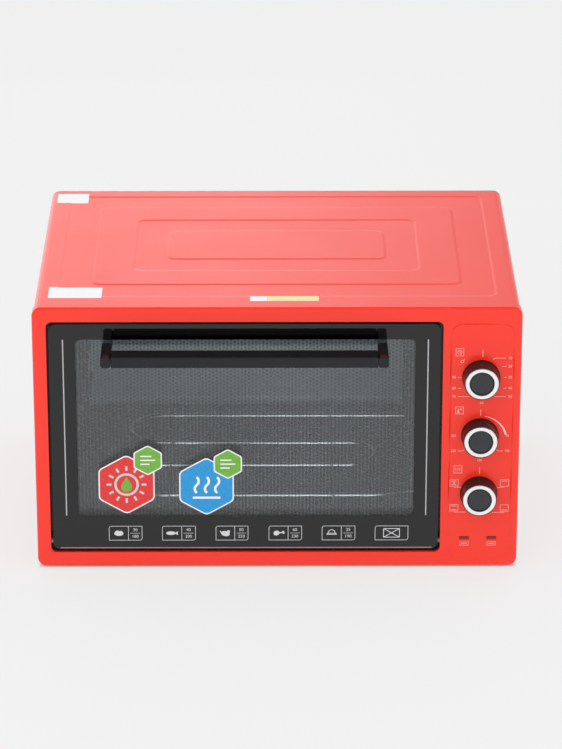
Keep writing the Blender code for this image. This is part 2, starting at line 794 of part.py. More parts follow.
def heater_route():
    """Middle line of a four-pass serpentine seen from above, from the front leg to the back leg."""
    wall = CAVITY_RIGHT + LINER_SHEET + LEG_LENGTH
    bend_start = CAVITY_RIGHT - LEG_BEND_START_GAP
    bend_end = CAVITY_RIGHT - LEG_BEND_END_GAP
    route = [(wall, LEG_DEPTHS[0]), (bend_end, LEG_DEPTHS[0])]
    route.append(((bend_start + bend_end) / 2, (LEG_DEPTHS[0] + PASS_DEPTHS[0]) / 2))
    route.append((bend_start, PASS_DEPTHS[0]))
    for index, near in enumerate(PASS_DEPTHS[:-1]):
        far = PASS_DEPTHS[index + 1]
        middle = (near + far) / 2
        radius = (far - near) / 2
        if index % 2 == 0:
            route += arc((TURN_LEFT, middle), radius, 270, 90, BEND_STEPS)
        else:
            route += arc((TURN_RIGHT, middle), radius, -90, 90, BEND_STEPS)
    route.append((wall, PASS_DEPTHS[-1]))
    return route


def heater(name, height, material):
    """Sheathed element as a bevelled curve, with thin connection pins beyond both legs."""
    route = heater_route()
    pin_share = PIN_RADIUS / TUBE_RADIUS
    step = SEAT_GAP / 2
    tip = route[0][0] + PIN_LENGTH
    neck = route[0][0] + step
    points = [(tip, route[0][1], pin_share), (neck, route[0][1], pin_share)]
    points += [(x, depth, 1.0) for x, depth in route]
    points += [(neck, route[-1][1], pin_share), (tip, route[-1][1], pin_share)]
    curve = bpy.data.curves.new(name, "CURVE")
    curve.dimensions = "3D"
    curve.bevel_depth = TUBE_RADIUS
    curve.bevel_resolution = TUBE_SIDES_RESOLUTION
    curve.use_fill_caps = True
    spline = curve.splines.new("POLY")
    spline.points.add(len(points) - 1)
    for point, (x, depth, share) in zip(spline.points, points):
        point.co = (x, at(depth), up(height), 1.0)
        point.radius = share
    curve.materials.append(material)
    thing = bpy.data.objects.new(name, curve)
    bpy.context.scene.collection.objects.link(thing)
    return thing


def heater_plate(name, height, material):
    """Steel strip outside the cavity wall that both legs of a heater are crimped into."""
    rect = Rect(
        at(LEG_DEPTHS[0] - HEATER_PLATE_MARGIN),
        at(LEG_DEPTHS[1] + HEATER_PLATE_MARGIN),
        up(height) - HEATER_PLATE_HALF,
        up(height) + HEATER_PLATE_HALF,
    )
    start = CAVITY_RIGHT + LINER_SHEET + SEAT_GAP
    end = start + HEATER_PLATE
    plate = prism(name, material, "x", rounded(rect, HEATER_PLATE_HALF / 2, SMALL_STEPS), start, end)
    holes = [circle((at(depth), up(height)), TUBE_RADIUS + SEAT_GAP) for depth in LEG_DEPTHS]
    cut(plate, prisms(name + "_holes", "x", holes, start - OVERRUN, end + OVERRUN))
    return plate


def heater_strip(name, x, height, wall, material):
    """Support standing on the cavity floor, or hanging from its ceiling, with a hole for each pass."""
    beyond = TUBE_RADIUS + STRIP_EDGE
    if wall < height:
        low, high = wall + SEAT_GAP, height + beyond
    else:
        low, high = height - beyond, wall - SEAT_GAP
    rect = raised(at(PASS_DEPTHS[0] - STRIP_MARGIN), at(PASS_DEPTHS[-1] + STRIP_MARGIN), low, high)
    half = STRIP_THICKNESS / 2
    strip = prism(name, material, "x", rounded(rect, STRIP_EDGE, SMALL_STEPS), x - half, x + half)
    holes = [circle((at(depth), up(height)), TUBE_RADIUS + SEAT_GAP) for depth in PASS_DEPTHS]
    cut(strip, prisms(name + "_holes", "x", holes, x - half - OVERRUN, x + half + OVERRUN))
    return strip


# Door


def door_glass(material):
    """Outer pane with ground front edges."""
    levels = [
        (GLASS_EDGE, at(GLASS_SETBACK)),
        (0, at(GLASS_SETBACK + GLASS_EDGE)),
        (0, at(GLASS_BACK)),
    ]
    return stacked("door_glass", material, "y", GLASS, GLASS_CORNER, levels)


def door_frame(material):
    """Pressed pan behind the glass, open to the front, with rolled back edges and the window cut out."""
    levels = rolled_levels(PAN_ROLL, at(PAN_BACK), -1)[::-1]
    pan = stacked("door_frame", material, "y", PAN, GLASS_CORNER, [(0, at(PAN_FRONT))] + levels)
    inside_levels = rolled_levels(PAN_ROLL - PAN_SHEET, at(PAN_BACK - PAN_SHEET), -1)[::-1]
    inside = stacked(
        "door_frame_inside",
        None,
        "y",
        grown(PAN, -PAN_SHEET),
        GLASS_CORNER - PAN_SHEET,
        [(0, at(PAN_FRONT - OVERRUN))] + inside_levels,
    )
    window = prism(
        "door_window",
        None,
        "y",
        rounded(WINDOW, WINDOW_CORNER),
        at(PAN_FRONT - OVERRUN),
        at(PAN_BACK + OVERRUN),
    )
    holes = prisms(
        "hinge_pin_holes",
        "x",
        [circle((at(HINGE_DEPTH), up(HINGE_HEIGHT)), HINGE_PIN_RADIUS + SEAT_GAP)],
        PAN.left - OVERRUN,
        PAN.right + OVERRUN,
    )
    cut(pan, inside, window, holes)
    return pan


def inner_glass(material):
    back = PAN_BACK - PAN_SHEET - SEAT_GAP
    rect = grown(WINDOW, INNER_GLASS_LAP)
    levels = [(0, at(back - INNER_GLASS_THICKNESS)), (0, at(back))]
    return stacked("door_inner_glass", material, "y", rect, WINDOW_CORNER, levels)


def door_spacer(material):
    """Heat-resistant ring that holds the two panes apart."""
    outer = grown(WINDOW, INNER_GLASS_LAP)
    inner = grown(outer, -SPACER_WIDTH)
    start = at(PAN_FRONT)
    end = at(PAN_BACK - PAN_SHEET - INNER_GLASS_THICKNESS - 2 * SEAT_GAP)
    outer_line = rounded(outer, WINDOW_CORNER)
    inner_line = rounded(inner, WINDOW_CORNER)
    sections = [(outer_line, start), (outer_line, end), (inner_line, end), (inner_line, start)]
    return loft("door_spacer", material, "y", sections, ring=True)


def handle_bracket(name, left, material):
    """Post between the glass and the handle bar, with a round top and softened nose."""
    rect = Rect(left, left + BRACKET_WIDTH, up(HANDLE_LOW), up(HANDLE_HIGH))
    front = at(GLASS_SETBACK - HANDLE_REACH)
    levels = rolled_levels(HANDLE_EDGE / 2, front, 1) + [(0, at(GLASS_SETBACK - SEAT_GAP))]
    return stacked(name, material, "y", rect, BRACKET_CORNER, levels)


def handle_bar(material):
    """Channel-shaped grip, open below, between the two brackets."""
    front = at(GLASS_SETBACK - HANDLE_REACH)
    rect = Rect(front, front + HANDLE_BAR_DEPTH, up(HANDLE_LOW), up(HANDLE_HIGH))
    start = HANDLE_LEFT + BRACKET_WIDTH + SEAT_GAP
    end = HANDLE_RIGHT - BRACKET_WIDTH - SEAT_GAP
    bar = prism("handle_bar", material, "x", rounded(rect, HANDLE_EDGE), start, end)
    hollow_rect = Rect(
        rect.left + HANDLE_WALL, rect.right - HANDLE_WALL, rect.low - OVERRUN, rect.high - HANDLE_WALL
    )
    hollow_line = rounded(hollow_rect, HANDLE_EDGE / 2, SMALL_STEPS)
    hollow = prism("handle_hollow", None, "x", hollow_line, start - OVERRUN, end + OVERRUN)
    cut(bar, hollow)
    return bar


def hinge_pin(name, side, material):
    """Stepped pin: a collar in the gap between plate and pan, a stub in the plate and a tail in the pan."""
    pan_edge = PAN.right if side > 0 else PAN.left
    recess = LIP.right if side > 0 else LIP.left
    outer = recess - side * SEAT_GAP
    inner_plate = outer - side * HINGE_PLATE
    tail = pan_edge - side * HINGE_PIN_REACH
    collar_out = inner_plate - side * SEAT_GAP
    collar_in = pan_edge + side * SEAT_GAP
    profile = [
        (0, outer - side * SEAT_GAP),
        (HINGE_PIN_RADIUS, outer - side * SEAT_GAP),
        (HINGE_PIN_RADIUS, collar_out),
        (HINGE_COLLAR_RADIUS, collar_out),
        (HINGE_COLLAR_RADIUS, collar_in),
        (HINGE_PIN_RADIUS, collar_in),
        (HINGE_PIN_RADIUS, tail),
        (0, tail),
    ]
    centre = (0, at(HINGE_DEPTH), up(HINGE_HEIGHT))
    return turned(name, material, "x", centre, profile, HOLE_STEPS)


def hinge_plate(name, side, material):
    """Plate riveted to the side of the surround, with the hole that the hinge pin turns in."""
    recess = LIP.right if side > 0 else LIP.left
    outer = recess - side * SEAT_GAP
    rect = Rect(
        at(HINGE_DEPTH) - HINGE_PLATE_HALF,
        at(HINGE_DEPTH) + HINGE_PLATE_HALF,
        up(HINGE_HEIGHT) - HINGE_PLATE_HALF,
        up(HINGE_HEIGHT) + HINGE_PLATE_TOP,
    )
    outline = rounded(rect, HINGE_PLATE_HALF / 2, SMALL_STEPS)
    plate = prism(name, material, "x", outline, outer, outer - side * HINGE_PLATE)
    hole = [circle((at(HINGE_DEPTH), up(HINGE_HEIGHT)), HINGE_PIN_RADIUS + SEAT_GAP)]
    reach = sorted((outer + side * OVERRUN, outer - side * (HINGE_PLATE + OVERRUN)))
    cut(plate, prisms(name + "_hole", "x", hole, *reach))
    return plate


# Rotary controls


def knob(name, height, material):
    """Hollow knob with a flared side, a rebate for the trim ring and a D-shaped bore in its hub."""
    base = at(PANEL_RECESS - KNOB_STANDOFF)
    front = at(-KNOB_REACH)
    rebate = front + RING_THICKNESS + SEAT_GAP
    cap = front + KNOB_CAP_DROP
    cap_radius = RING_BORE - SEAT_GAP
    roof = rebate + KNOB_WALL
    hub_foot = base - HUB_SHORT
    profile = [
        (0, cap),
        (cap_radius - KNOB_CAP_EDGE, cap),
        (cap_radius, cap + KNOB_CAP_EDGE / 2),
        (cap_radius, rebate),
        (KNOB_NECK_RADIUS - KNOB_CAP_EDGE / 2, rebate),
        (KNOB_NECK_RADIUS, rebate + KNOB_CAP_EDGE / 2),
        (KNOB_BASE_RADIUS - KNOB_CAP_EDGE, base - KNOB_SKIRT_FOOT * 2),
        (KNOB_BASE_RADIUS, base - KNOB_SKIRT_FOOT),
        (KNOB_BASE_RADIUS, base),
        (KNOB_BASE_RADIUS - KNOB_WALL, base),
        (KNOB_NECK_RADIUS - KNOB_WALL, roof),
        (HUB_RADIUS, roof),
        (HUB_RADIUS, hub_foot),
        (0, hub_foot),
    ]
    centre = (KNOB_X, 0, up(height))
    body = turned(name, material, "y", centre, profile)
    bore = d_outline((KNOB_X, up(height)), SHAFT_RADIUS + SEAT_GAP, SHAFT_FLAT + SEAT_GAP)
    cut(body, prisms(name + "_bore", "y", [bore], hub_foot - HUB_DEPTH, hub_foot + OVERRUN))
    return body


def knob_ring(name, height, material):
    front = at(-KNOB_REACH)
    back = front + RING_THICKNESS
    profile = [
        (RING_BORE, back),
        (RING_BORE, front + RING_EDGE),
        (RING_BORE + RING_EDGE, front),
        (RING_RADIUS - RING_EDGE, front),
        (RING_RADIUS, front + RING_EDGE),
        (RING_RADIUS, back),
    ]
    return turned(name, material, "y", (KNOB_X, 0, up(height)), profile, closed=True)


def control_shaft(name, height, material):
    hub_foot = at(PANEL_RECESS - KNOB_STANDOFF) - HUB_SHORT
    start = hub_foot - HUB_DEPTH + SEAT_GAP
    end = at(PANEL_BACK + SEAT_GAP) + SHAFT_SEAT
    outline = d_outline((KNOB_X, up(height)), SHAFT_RADIUS, SHAFT_FLAT)
    return prism(name, material, "y", outline, start, end)


def shaft_bore(name, height):
    """The round bearing that a control's shaft turns in."""
    start = at(PANEL_BACK - OVERRUN)
    end = at(PANEL_BACK + SEAT_GAP) + SHAFT_SEAT + SEAT_GAP
    return prisms(name, "y", [circle((KNOB_X, up(height)), SHAFT_RADIUS + SEAT_GAP)], start, end)


def timer_body(material):
    """Clockwork timer: a mounting plate with ears above and below, the movement's case behind it."""
    front = at(PANEL_BACK + SEAT_GAP)
    centre = up(TIMER_HEIGHT)
    rect = square(KNOB_X, centre, TIMER_HALF)
    levels = [
        (0, front),
        (0, front + CONTROL_PLATE),
        (CONTROL_PLATE, front + CONTROL_PLATE),
        (CONTROL_PLATE, front + TIMER_DEPTH - CONTROL_PLATE),
        (2 * CONTROL_PLATE, front + TIMER_DEPTH),
    ]
    case = stacked("timer_body", material, "y", rect, CONTROL_CORNER, levels, SMALL_STEPS)
    cut(case, shaft_bore("timer_bore", TIMER_HEIGHT))
    return case


def timer_bell(material):
    """Shallow dished gong behind the movement."""
    start = at(PANEL_BACK + SEAT_GAP) + TIMER_DEPTH + SEAT_GAP
    edge = TIMER_BELL_DEPTH / 3
    profile = [
        (0, start),
        (HUB_RADIUS, start),
        (HUB_RADIUS, start + TIMER_BELL_DEPTH - 2 * SHEET),
        (TIMER_BELL_RADIUS - edge - SHEET, start + TIMER_BELL_DEPTH - 2 * SHEET),
        (TIMER_BELL_RADIUS - SHEET, start + edge),
        (TIMER_BELL_RADIUS, start + edge),
        (TIMER_BELL_RADIUS - edge, start + TIMER_BELL_DEPTH),
        (0, start + TIMER_BELL_DEPTH),
    ]
    return turned("timer_bell", material, "y", (KNOB_X, 0, up(TIMER_HEIGHT)), profile)


def thermostat_body(material):
    """Round thermostat on a mounting strap."""
    front = at(PANEL_BACK + SEAT_GAP)
    centre = up(THERMOSTAT_HEIGHT)
    back = front + THERMOSTAT_DEPTH
    edge = CONTROL_PLATE
    profile = [
        (0, front),
        (THERMOSTAT_RADIUS - edge, front),
        (THERMOSTAT_RADIUS, front + edge),
        (THERMOSTAT_RADIUS, back - edge),
        (THERMOSTAT_RADIUS - edge, back),
        (HUB_RADIUS, back),
        (HUB_RADIUS, back + edge),
        (0, back + edge),
    ]
    body = turned("thermostat_body", material, "y", (KNOB_X, 0, centre), profile)
    rect = Rect(
        KNOB_X - THERMOSTAT_STRAP_HALF,
        KNOB_X + THERMOSTAT_STRAP_HALF,
        centre - THERMOSTAT_STRAP_REACH,
        centre + THERMOSTAT_STRAP_REACH,
    )
    outline = rounded(rect, CONTROL_CORNER, SMALL_STEPS)
    strap = prism("thermostat_strap", None, "y", outline, front, front + CONTROL_PLATE)
    add(body, strap)
    cut(body, shaft_bore("thermostat_bore", THERMOSTAT_HEIGHT))
    return body


def selector_body(material):
    """Rotary function switch built from stacked wafers."""
    front = at(PANEL_BACK + SEAT_GAP)
    centre = up(SELECTOR_HEIGHT)
    rect = square(KNOB_X, centre, SELECTOR_HALF)
    levels = [(0, front)]
    wafer = SELECTOR_DEPTH / SELECTOR_WAFERS
    for index in range(1, SELECTOR_WAFERS):
        seam = front + index * wafer
        levels += [
            (0, seam - SELECTOR_GROOVE),
            (SELECTOR_GROOVE, seam - SELECTOR_GROOVE),
            (SELECTOR_GROOVE, seam),
            (0, seam),
        ]
    levels.append((0, front + SELECTOR_DEPTH))
    body = stacked("selector_body", material, "y", rect, CONTROL_CORNER, levels, SMALL_STEPS)
    cut(body, shaft_bore("selector_bore", SELECTOR_HEIGHT))
    return body


# Indicator lamps


def lens_rect(x):
    half_width = LENS_WIDTH / 2
    return raised(x - half_width, x + half_width, LENS_UP - LENS_HEIGHT / 2, LENS_UP + LENS_HEIGHT / 2)


def indicator_lens(name, x, material):
    """Lens through the panel, with a flange that keeps it behind the sheet."""
    front = at(PANEL_RECESS - LENS_PROUD)
    seat = at(PANEL_BACK + SEAT_GAP)
    levels = [
        (LENS_CORNER / 2, front),
        (0, front + LENS_CORNER / 2),
        (0, seat),
        (-LENS_FLANGE, seat),
        (-LENS_FLANGE, seat + LENS_FLANGE_THICKNESS),
    ]
    return stacked(name, material, "y", lens_rect(x), LENS_CORNER, levels, SMALL_STEPS)


def indicator_lamp(name, x, material):
    start = at(PANEL_BACK + SEAT_GAP) + LENS_FLANGE_THICKNESS + SEAT_GAP
    end = start + LAMP_LENGTH
    profile = [
        (0, start),
        (LAMP_RADIUS - LAMP_TIP, start),
        (LAMP_RADIUS, start + LAMP_TIP),
        (LAMP_RADIUS, end),
        (0, end),
    ]
    return turned(name, material, "y", (x, 0, up(LENS_UP)), profile, HOLE_STEPS)


# Feet and mains connection

FOOT_CENTRES = {
    "foot_front_left": (-FOOT_SPREAD, at(FOOT_FRONT_DEPTH)),
    "foot_front_right": (FOOT_SPREAD, at(FOOT_FRONT_DEPTH)),
    "foot_back_left": (-FOOT_SPREAD, at(FOOT_BACK_DEPTH)),
    "foot_back_right": (FOOT_SPREAD, at(FOOT_BACK_DEPTH)),
}


def foot(name, centre, material):
    """Tapered foot with a stem pressed up through the base plate."""
    seat = up(BASE_LOW) - SEAT_GAP
    stem = seat + SEAT_GAP + SHEET + FOOT_STEM_LENGTH
    profile = [
        (0, 0),
        (FOOT_TOE_RADIUS - FOOT_EDGE, 0),
        (FOOT_TOE_RADIUS, FOOT_EDGE),
        (FOOT_RADIUS, seat - FOOT_EDGE),
        (FOOT_RADIUS - FOOT_EDGE, seat),
        (FOOT_STEM_RADIUS, seat),
        (FOOT_STEM_RADIUS, stem - FOOT_EDGE),
        (FOOT_STEM_RADIUS - FOOT_EDGE, stem),
        (0, stem),
    ]
    return turned(name, material, "z", (*centre, 0), profile, HOLE_STEPS)


def cord_gland(material):
    """Two-flanged sleeve in the back panel that the mains lead passes through."""
    outside = at(BODY_DEPTH) + SEAT_GAP
    inside = at(BODY_DEPTH - SHEET) - SEAT_GAP
    tip = at(BODY_DEPTH + GLAND_REACH)
    tail = inside - GLAND_FLANGE - GLAND_TAIL
    profile = [
        (GLAND_BORE, tip),
        (GLAND_NOSE_RADIUS, tip),
        (GLAND_RADIUS, outside + GLAND_FLANGE),
        (GLAND_FLANGE_RADIUS, outside + GLAND_FLANGE),
        (GLAND_FLANGE_RADIUS, outside),
        (GLAND_RADIUS, outside),
        (GLAND_RADIUS, inside),
        (GLAND_FLANGE_RADIUS, inside),
        (GLAND_FLANGE_RADIUS, inside - GLAND_FLANGE),
        (GLAND_NOSE_RADIUS, inside - GLAND_FLANGE),
        (GLAND_NOSE_RADIUS, tail),
        (GLAND_BORE, tail),
    ]
    centre = (GLAND_X, 0, up(GLAND_UP))
    return turned("cord_gland", material, "y", centre, profile, HOLE_STEPS, closed=True)


def terminal_block(material):
    """Block on the base plate where the mains lead is clamped, with a shouldered top and screw wells."""
    floor = up(BASE_LOW) + SHEET + SEAT_GAP
    middle = at(BLOCK_DEPTH)
    half_width = BLOCK_WIDTH / 2
    half_length = BLOCK_LENGTH / 2
    rect = Rect(GLAND_X - half_width, GLAND_X + half_width, middle - half_length, middle + half_length)
    levels = [(0, floor), (0, floor + BLOCK_SHOULDER), (BLOCK_EDGE, floor + BLOCK_HEIGHT)]
    block = stacked("terminal_block", material, "z", rect, BLOCK_EDGE, levels, SMALL_STEPS)
    pitch = BLOCK_WIDTH / BLOCK_WELLS
    wells = []
    for index in range(BLOCK_WELLS):
        x = GLAND_X + (index - (BLOCK_WELLS - 1) / 2) * pitch
        wells.append(circle((x, middle), WELL_RADIUS))
    top = floor + BLOCK_HEIGHT
    cut(block, prisms("terminal_wells", "z", wells, top - WELL_DEPTH, top + OVERRUN))
    return block


# Assembly


def pivot(name, place):
    """An empty on a joint's axis, which carries the pieces that move together."""
    empty = bpy.data.objects.new(name, None)
    empty.location = place
    bpy.context.scene.collection.objects.link(empty)
    return empty


def carry(empty, *things):
    for thing in things:
        thing.parent = empty
        thing.matrix_parent_inverse = Matrix.Translation(empty.location).inverted()


def build():
    for thing in list(bpy.data.objects):
        bpy.data.objects.remove(thing, do_unlink=True)

    red = finish("casing_red", (0.90, 0.065, 0.042), 0.30)
    steel = finish("galvanised_steel", (0.55, 0.56, 0.57), 0.42, 0.9)
    enamel = finish("cavity_enamel", (0.10, 0.105, 0.11), 0.35, 0.2)
    black_steel = finish("door_black", (0.018, 0.018, 0.020), 0.35)
    tinted = finish("door_glass", (0.05, 0.05, 0.055), 0.05, 0.0, 0.45)
    clear = finish("inner_glass", (0.80, 0.84, 0.84), 0.05, 0.0, 0.25)
    silicone = finish("silicone", (0.03, 0.03, 0.03), 0.7)
    black_plastic = finish("handle_black", (0.020, 0.020, 0.022), 0.28)
    knob_black = finish("knob_black", (0.025, 0.026, 0.030), 0.35)
    ring_silver = finish("knob_ring", (0.82, 0.80, 0.80), 0.22, 0.8)
    tube_steel = finish("heater_tube", (0.62, 0.62, 0.63), 0.30, 1.0)
    zinc = finish("zinc_steel", (0.62, 0.61, 0.58), 0.40, 1.0)
    switch_plastic = finish("switch_body", (0.72, 0.68, 0.58), 0.55)
    lens_red = finish("indicator_red", (0.35, 0.010, 0.010), 0.20, 0.0, 0.9)
    neon = finish("neon_lamp", (0.80, 0.62, 0.52), 0.10, 0.0, 0.6)
    rubber = finish("foot_rubber", (0.022, 0.022, 0.022), 0.75)

    front_frame(red)
    cabinet_wrap(red)
    base_plate(steel)
    back_panel(steel)
    cavity_liner(enamel)

    for level, height, wall in (
        ("lower", LOWER_HEATER_HEIGHT, CAVITY_LOW),
        ("upper", UPPER_HEATER_HEIGHT, CAVITY_HIGH),
    ):
        heater(f"{level}_heater", height, tube_steel)
        heater_plate(f"{level}_heater_plate", height, zinc)
        for side, x in zip(("left", "right"), STRIP_PLACES):
            heater_strip(f"{level}_heater_strip_{side}", x, height, wall, zinc)

    door = pivot("door_axis", (0, at(HINGE_DEPTH), up(HINGE_HEIGHT)))
    carry(
        door,
        door_glass(tinted),
        door_frame(black_steel),
        inner_glass(clear),
        door_spacer(silicone),
        handle_bar(black_plastic),
        handle_bracket("handle_bracket_left", HANDLE_LEFT, black_plastic),
        handle_bracket("handle_bracket_right", HANDLE_RIGHT - BRACKET_WIDTH, black_plastic),
        hinge_pin("hinge_pin_left", -1, zinc),
        hinge_pin("hinge_pin_right", 1, zinc),
    )
    hinge_plate("hinge_plate_left", -1, zinc)
    hinge_plate("hinge_plate_right", 1, zinc)

    for name, height in zip(("timer", "thermostat", "selector"), KNOB_HEIGHTS):
        dial = pivot(f"{name}_axis", (KNOB_X, at(PANEL_RECESS), up(height)))
        carry(
            dial,
            knob(f"{name}_knob", height, knob_black),
            knob_ring(f"{name}_knob_ring", height, ring_silver),
            control_shaft(f"{name}_shaft", height, zinc),
        )
    timer_body(switch_plastic)
    timer_bell(zinc)
    thermostat_body(switch_plastic)
    selector_body(switch_plastic)

    for name, x in zip(("power", "heating"), LENS_PLACES):
        indicator_lens(f"{name}_lens", x, lens_red)
        indicator_lamp(f"{name}_lamp", x, neon)

    for name, centre in FOOT_CENTRES.items():
        foot(name, centre, rubber)
    cord_gland(black_plastic)
    terminal_block(switch_plastic)


build()
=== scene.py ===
"""Looks of a countertop mini oven: finishes, prints, labels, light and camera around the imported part."""

import json
import math

import bmesh
import bpy
from mathutils import Matrix, Vector


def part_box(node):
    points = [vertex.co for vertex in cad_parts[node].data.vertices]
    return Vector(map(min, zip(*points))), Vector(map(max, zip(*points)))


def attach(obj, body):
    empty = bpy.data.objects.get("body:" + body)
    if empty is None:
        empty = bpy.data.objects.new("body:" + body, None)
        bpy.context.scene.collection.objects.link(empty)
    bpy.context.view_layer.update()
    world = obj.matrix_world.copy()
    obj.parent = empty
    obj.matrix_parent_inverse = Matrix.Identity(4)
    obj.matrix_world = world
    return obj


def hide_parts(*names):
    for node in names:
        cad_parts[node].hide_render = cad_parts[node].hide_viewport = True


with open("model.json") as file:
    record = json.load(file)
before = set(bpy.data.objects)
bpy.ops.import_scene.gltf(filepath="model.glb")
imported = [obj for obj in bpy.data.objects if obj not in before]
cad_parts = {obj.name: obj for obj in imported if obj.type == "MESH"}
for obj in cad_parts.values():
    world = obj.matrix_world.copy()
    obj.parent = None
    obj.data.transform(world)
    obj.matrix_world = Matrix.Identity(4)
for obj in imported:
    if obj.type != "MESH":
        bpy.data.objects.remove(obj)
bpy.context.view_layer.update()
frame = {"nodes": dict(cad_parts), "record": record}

MM = 0.001

# Places taken from the part
FRAME_START, FRAME_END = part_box("front_frame")
FACE = FRAME_START.y
BOTTOM = FRAME_START.z
GLASS_START, GLASS_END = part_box("door_glass")
WRAP_START, WRAP_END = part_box("cabinet_wrap")

# Casing
FRAME_CORNER = 0.010
FRAME_ROLL = 0.004
FRAME_FLANGE = 0.0165
SHEET = 0.0008
OPENING = (-0.245, 0.1763, 0.0178, 0.2854)
OPENING_CORNER = 0.006
OPENING_LIP = 0.0045
PANEL = (0.184, 0.2525, 0.010, 0.2834)
PANEL_CORNER = 0.013
PANEL_RECESS = 0.0008
PANEL_SLOPE = 0.0015
WRAP_CORNER = 0.009
EMBOSS_DEPTH = 0.00055
EMBOSS_SLOPE = 0.0036
EMBOSS_CORNER = 0.010
EMBOSS_SIDE_MARGIN = 0.024
EMBOSS_FRONT = 0.038
EMBOSS_BACK = 0.362
EMBOSS_PITCH = 0.0395
EMBOSS_PARTS = 6
TOP_SHEET = 0.0024
WRAP_OPEN_HALF = 0.240
SLOT_DEPTH = 0.130
SLOT_UP = 0.058
SLOT_LENGTH = 0.060
SLOT_GAP = 0.016
SLOT_PITCH = 0.0095
SLOT_HEIGHT = 0.0035

# Door
GLASS_CORNER = 0.008
GLASS_BEVEL = 0.0009
WINDOW = (-0.2145, 0.147, 0.0601, 0.265)
WINDOW_CORNER = 0.006
DOT_WIDTH = 0.00766
DOT_HEIGHT = 0.0039
DOT_RADIUS = 0.00125

# Handle
HANDLE_EDGE = 0.0013
HANDLE_WALL = 0.0025
POST_CORNER = 0.0030

# Controls
LENS_WIDTH = 0.010
LENS_HEIGHT = 0.0034
KNOB_NECK = 0.0186
KNOB_BASE = 0.0202
RING_OUTER = 0.0177
RING_BORE = 0.0131
RING_DEPTH = 0.0022
HOLE_RADIUS = 0.0048
KNOBS = ("timer", "thermostat", "selector")

SCREW_RADIUS = 0.0036
SCREW_INSET = 0.010

# Cutters reach this far past what they cut; a lens has this play in its hole
PAST = 0.01
LENS_PLAY = 0.00015

# Light: the contact shadow starts this far behind the front edge
SHADOW_SETBACK = 0.0090
SKY_LIGHT = 0.84
FLOOR_GLOW = 0.90
FLOOR_GLOW_SHARE = 0.80
FLOOR_REFLECTION_GAIN = 0.3
CEILING_GLOW = 0.12
SCREEN_DIM = 0.72
SCREEN_BRIGHT = 1.48
LAMP_TARGET = (0, 0, 0.15)

SMOOTH_ANGLE = math.radians(32)
PRINT_GAP = 0.00006
PRINT_BLUR = 0.00015


def at(depth):
    """World y of a depth behind the front face."""
    return FACE + depth


def up(height):
    """World z of a height above the casing's lower edge."""
    return BOTTOM + height


# Node helpers


def link(tree, source, target):
    tree.links.new(source, target)


def group(name, inputs, outputs):
    tree = bpy.data.node_groups.new(name, "ShaderNodeTree")
    for socket, kind, value in inputs:
        made = tree.interface.new_socket(socket, in_out="INPUT", socket_type=kind)
        if value is not None:
            made.default_value = value
    for socket, kind in outputs:
        tree.interface.new_socket(socket, in_out="OUTPUT", socket_type=kind)
    return tree, tree.nodes.new("NodeGroupInput"), tree.nodes.new("NodeGroupOutput")


def math_node(tree, operation, *values):
    """A math node; a value is a number or a socket."""
    node = tree.nodes.new("ShaderNodeMath")
    node.operation = operation
    for index, value in enumerate(values):
        if isinstance(value, (int, float)):
            node.inputs[index].default_value = value
        else:
            link(tree, value, node.inputs[index])
    return node.outputs[0]


def mix_colour(tree, factor, first, second):
    node = tree.nodes.new("ShaderNodeMix")
    node.data_type = "RGBA"
    for socket, value in ((node.inputs[0], factor), (node.inputs[6], first), (node.inputs[7], second)):
        if isinstance(value, (int, float, tuple)):
            socket.default_value = (*value, 1) if isinstance(value, tuple) else value
        else:
            link(tree, value, socket)
    return node.outputs[2]


def axes(tree, place):
    """The X, Y and Z outputs of a place."""
    split = tree.nodes.new("ShaderNodeSeparateXYZ")
    link(tree, place, split.inputs[0])
    return split.outputs


def ramp(tree, value, low, high, start=0.0, end=1.0):
    """Runs from start to end as the value goes from low to high."""
    node = tree.nodes.new("ShaderNodeMapRange")
    for name, number in (("From Min", low), ("From Max", high), ("To Min", start), ("To Max", end)):
        node.inputs[name].default_value = number
    link(tree, value, node.inputs["Value"])
    return node.outputs[0]


def glow(tree, colour, strength=1.0):
    node = tree.nodes.new("ShaderNodeEmission")
    node.inputs["Color"].default_value = (colour, colour, colour, 1)
    if isinstance(strength, float):
        node.inputs["Strength"].default_value = strength
    else:
        link(tree, strength, node.inputs["Strength"])
    return node.outputs[0]


def make_cloud():
    """Soft noise spread between two values."""
    tree, given, result = group(
        "cloud",
        [("Vector", "NodeSocketVector", None), ("Scale", "NodeSocketFloat", 40.0),
         ("Low", "NodeSocketFloat", 0.0), ("High", "NodeSocketFloat", 1.0)],
        [("Value", "NodeSocketFloat")],
    )
    noise = tree.nodes.new("ShaderNodeTexNoise")
    noise.inputs["Detail"].default_value = 3.0
    link(tree, given.outputs["Vector"], noise.inputs["Vector"])
    link(tree, given.outputs["Scale"], noise.inputs["Scale"])
    spread = tree.nodes.new("ShaderNodeMapRange")
    spread.inputs["From Min"].default_value = 0.3
    spread.inputs["From Max"].default_value = 0.7
    link(tree, noise.outputs[0], spread.inputs["Value"])
    link(tree, given.outputs["Low"], spread.inputs["To Min"])
    link(tree, given.outputs["High"], spread.inputs["To Max"])
    link(tree, spread.outputs[0], result.inputs["Value"])
    return tree


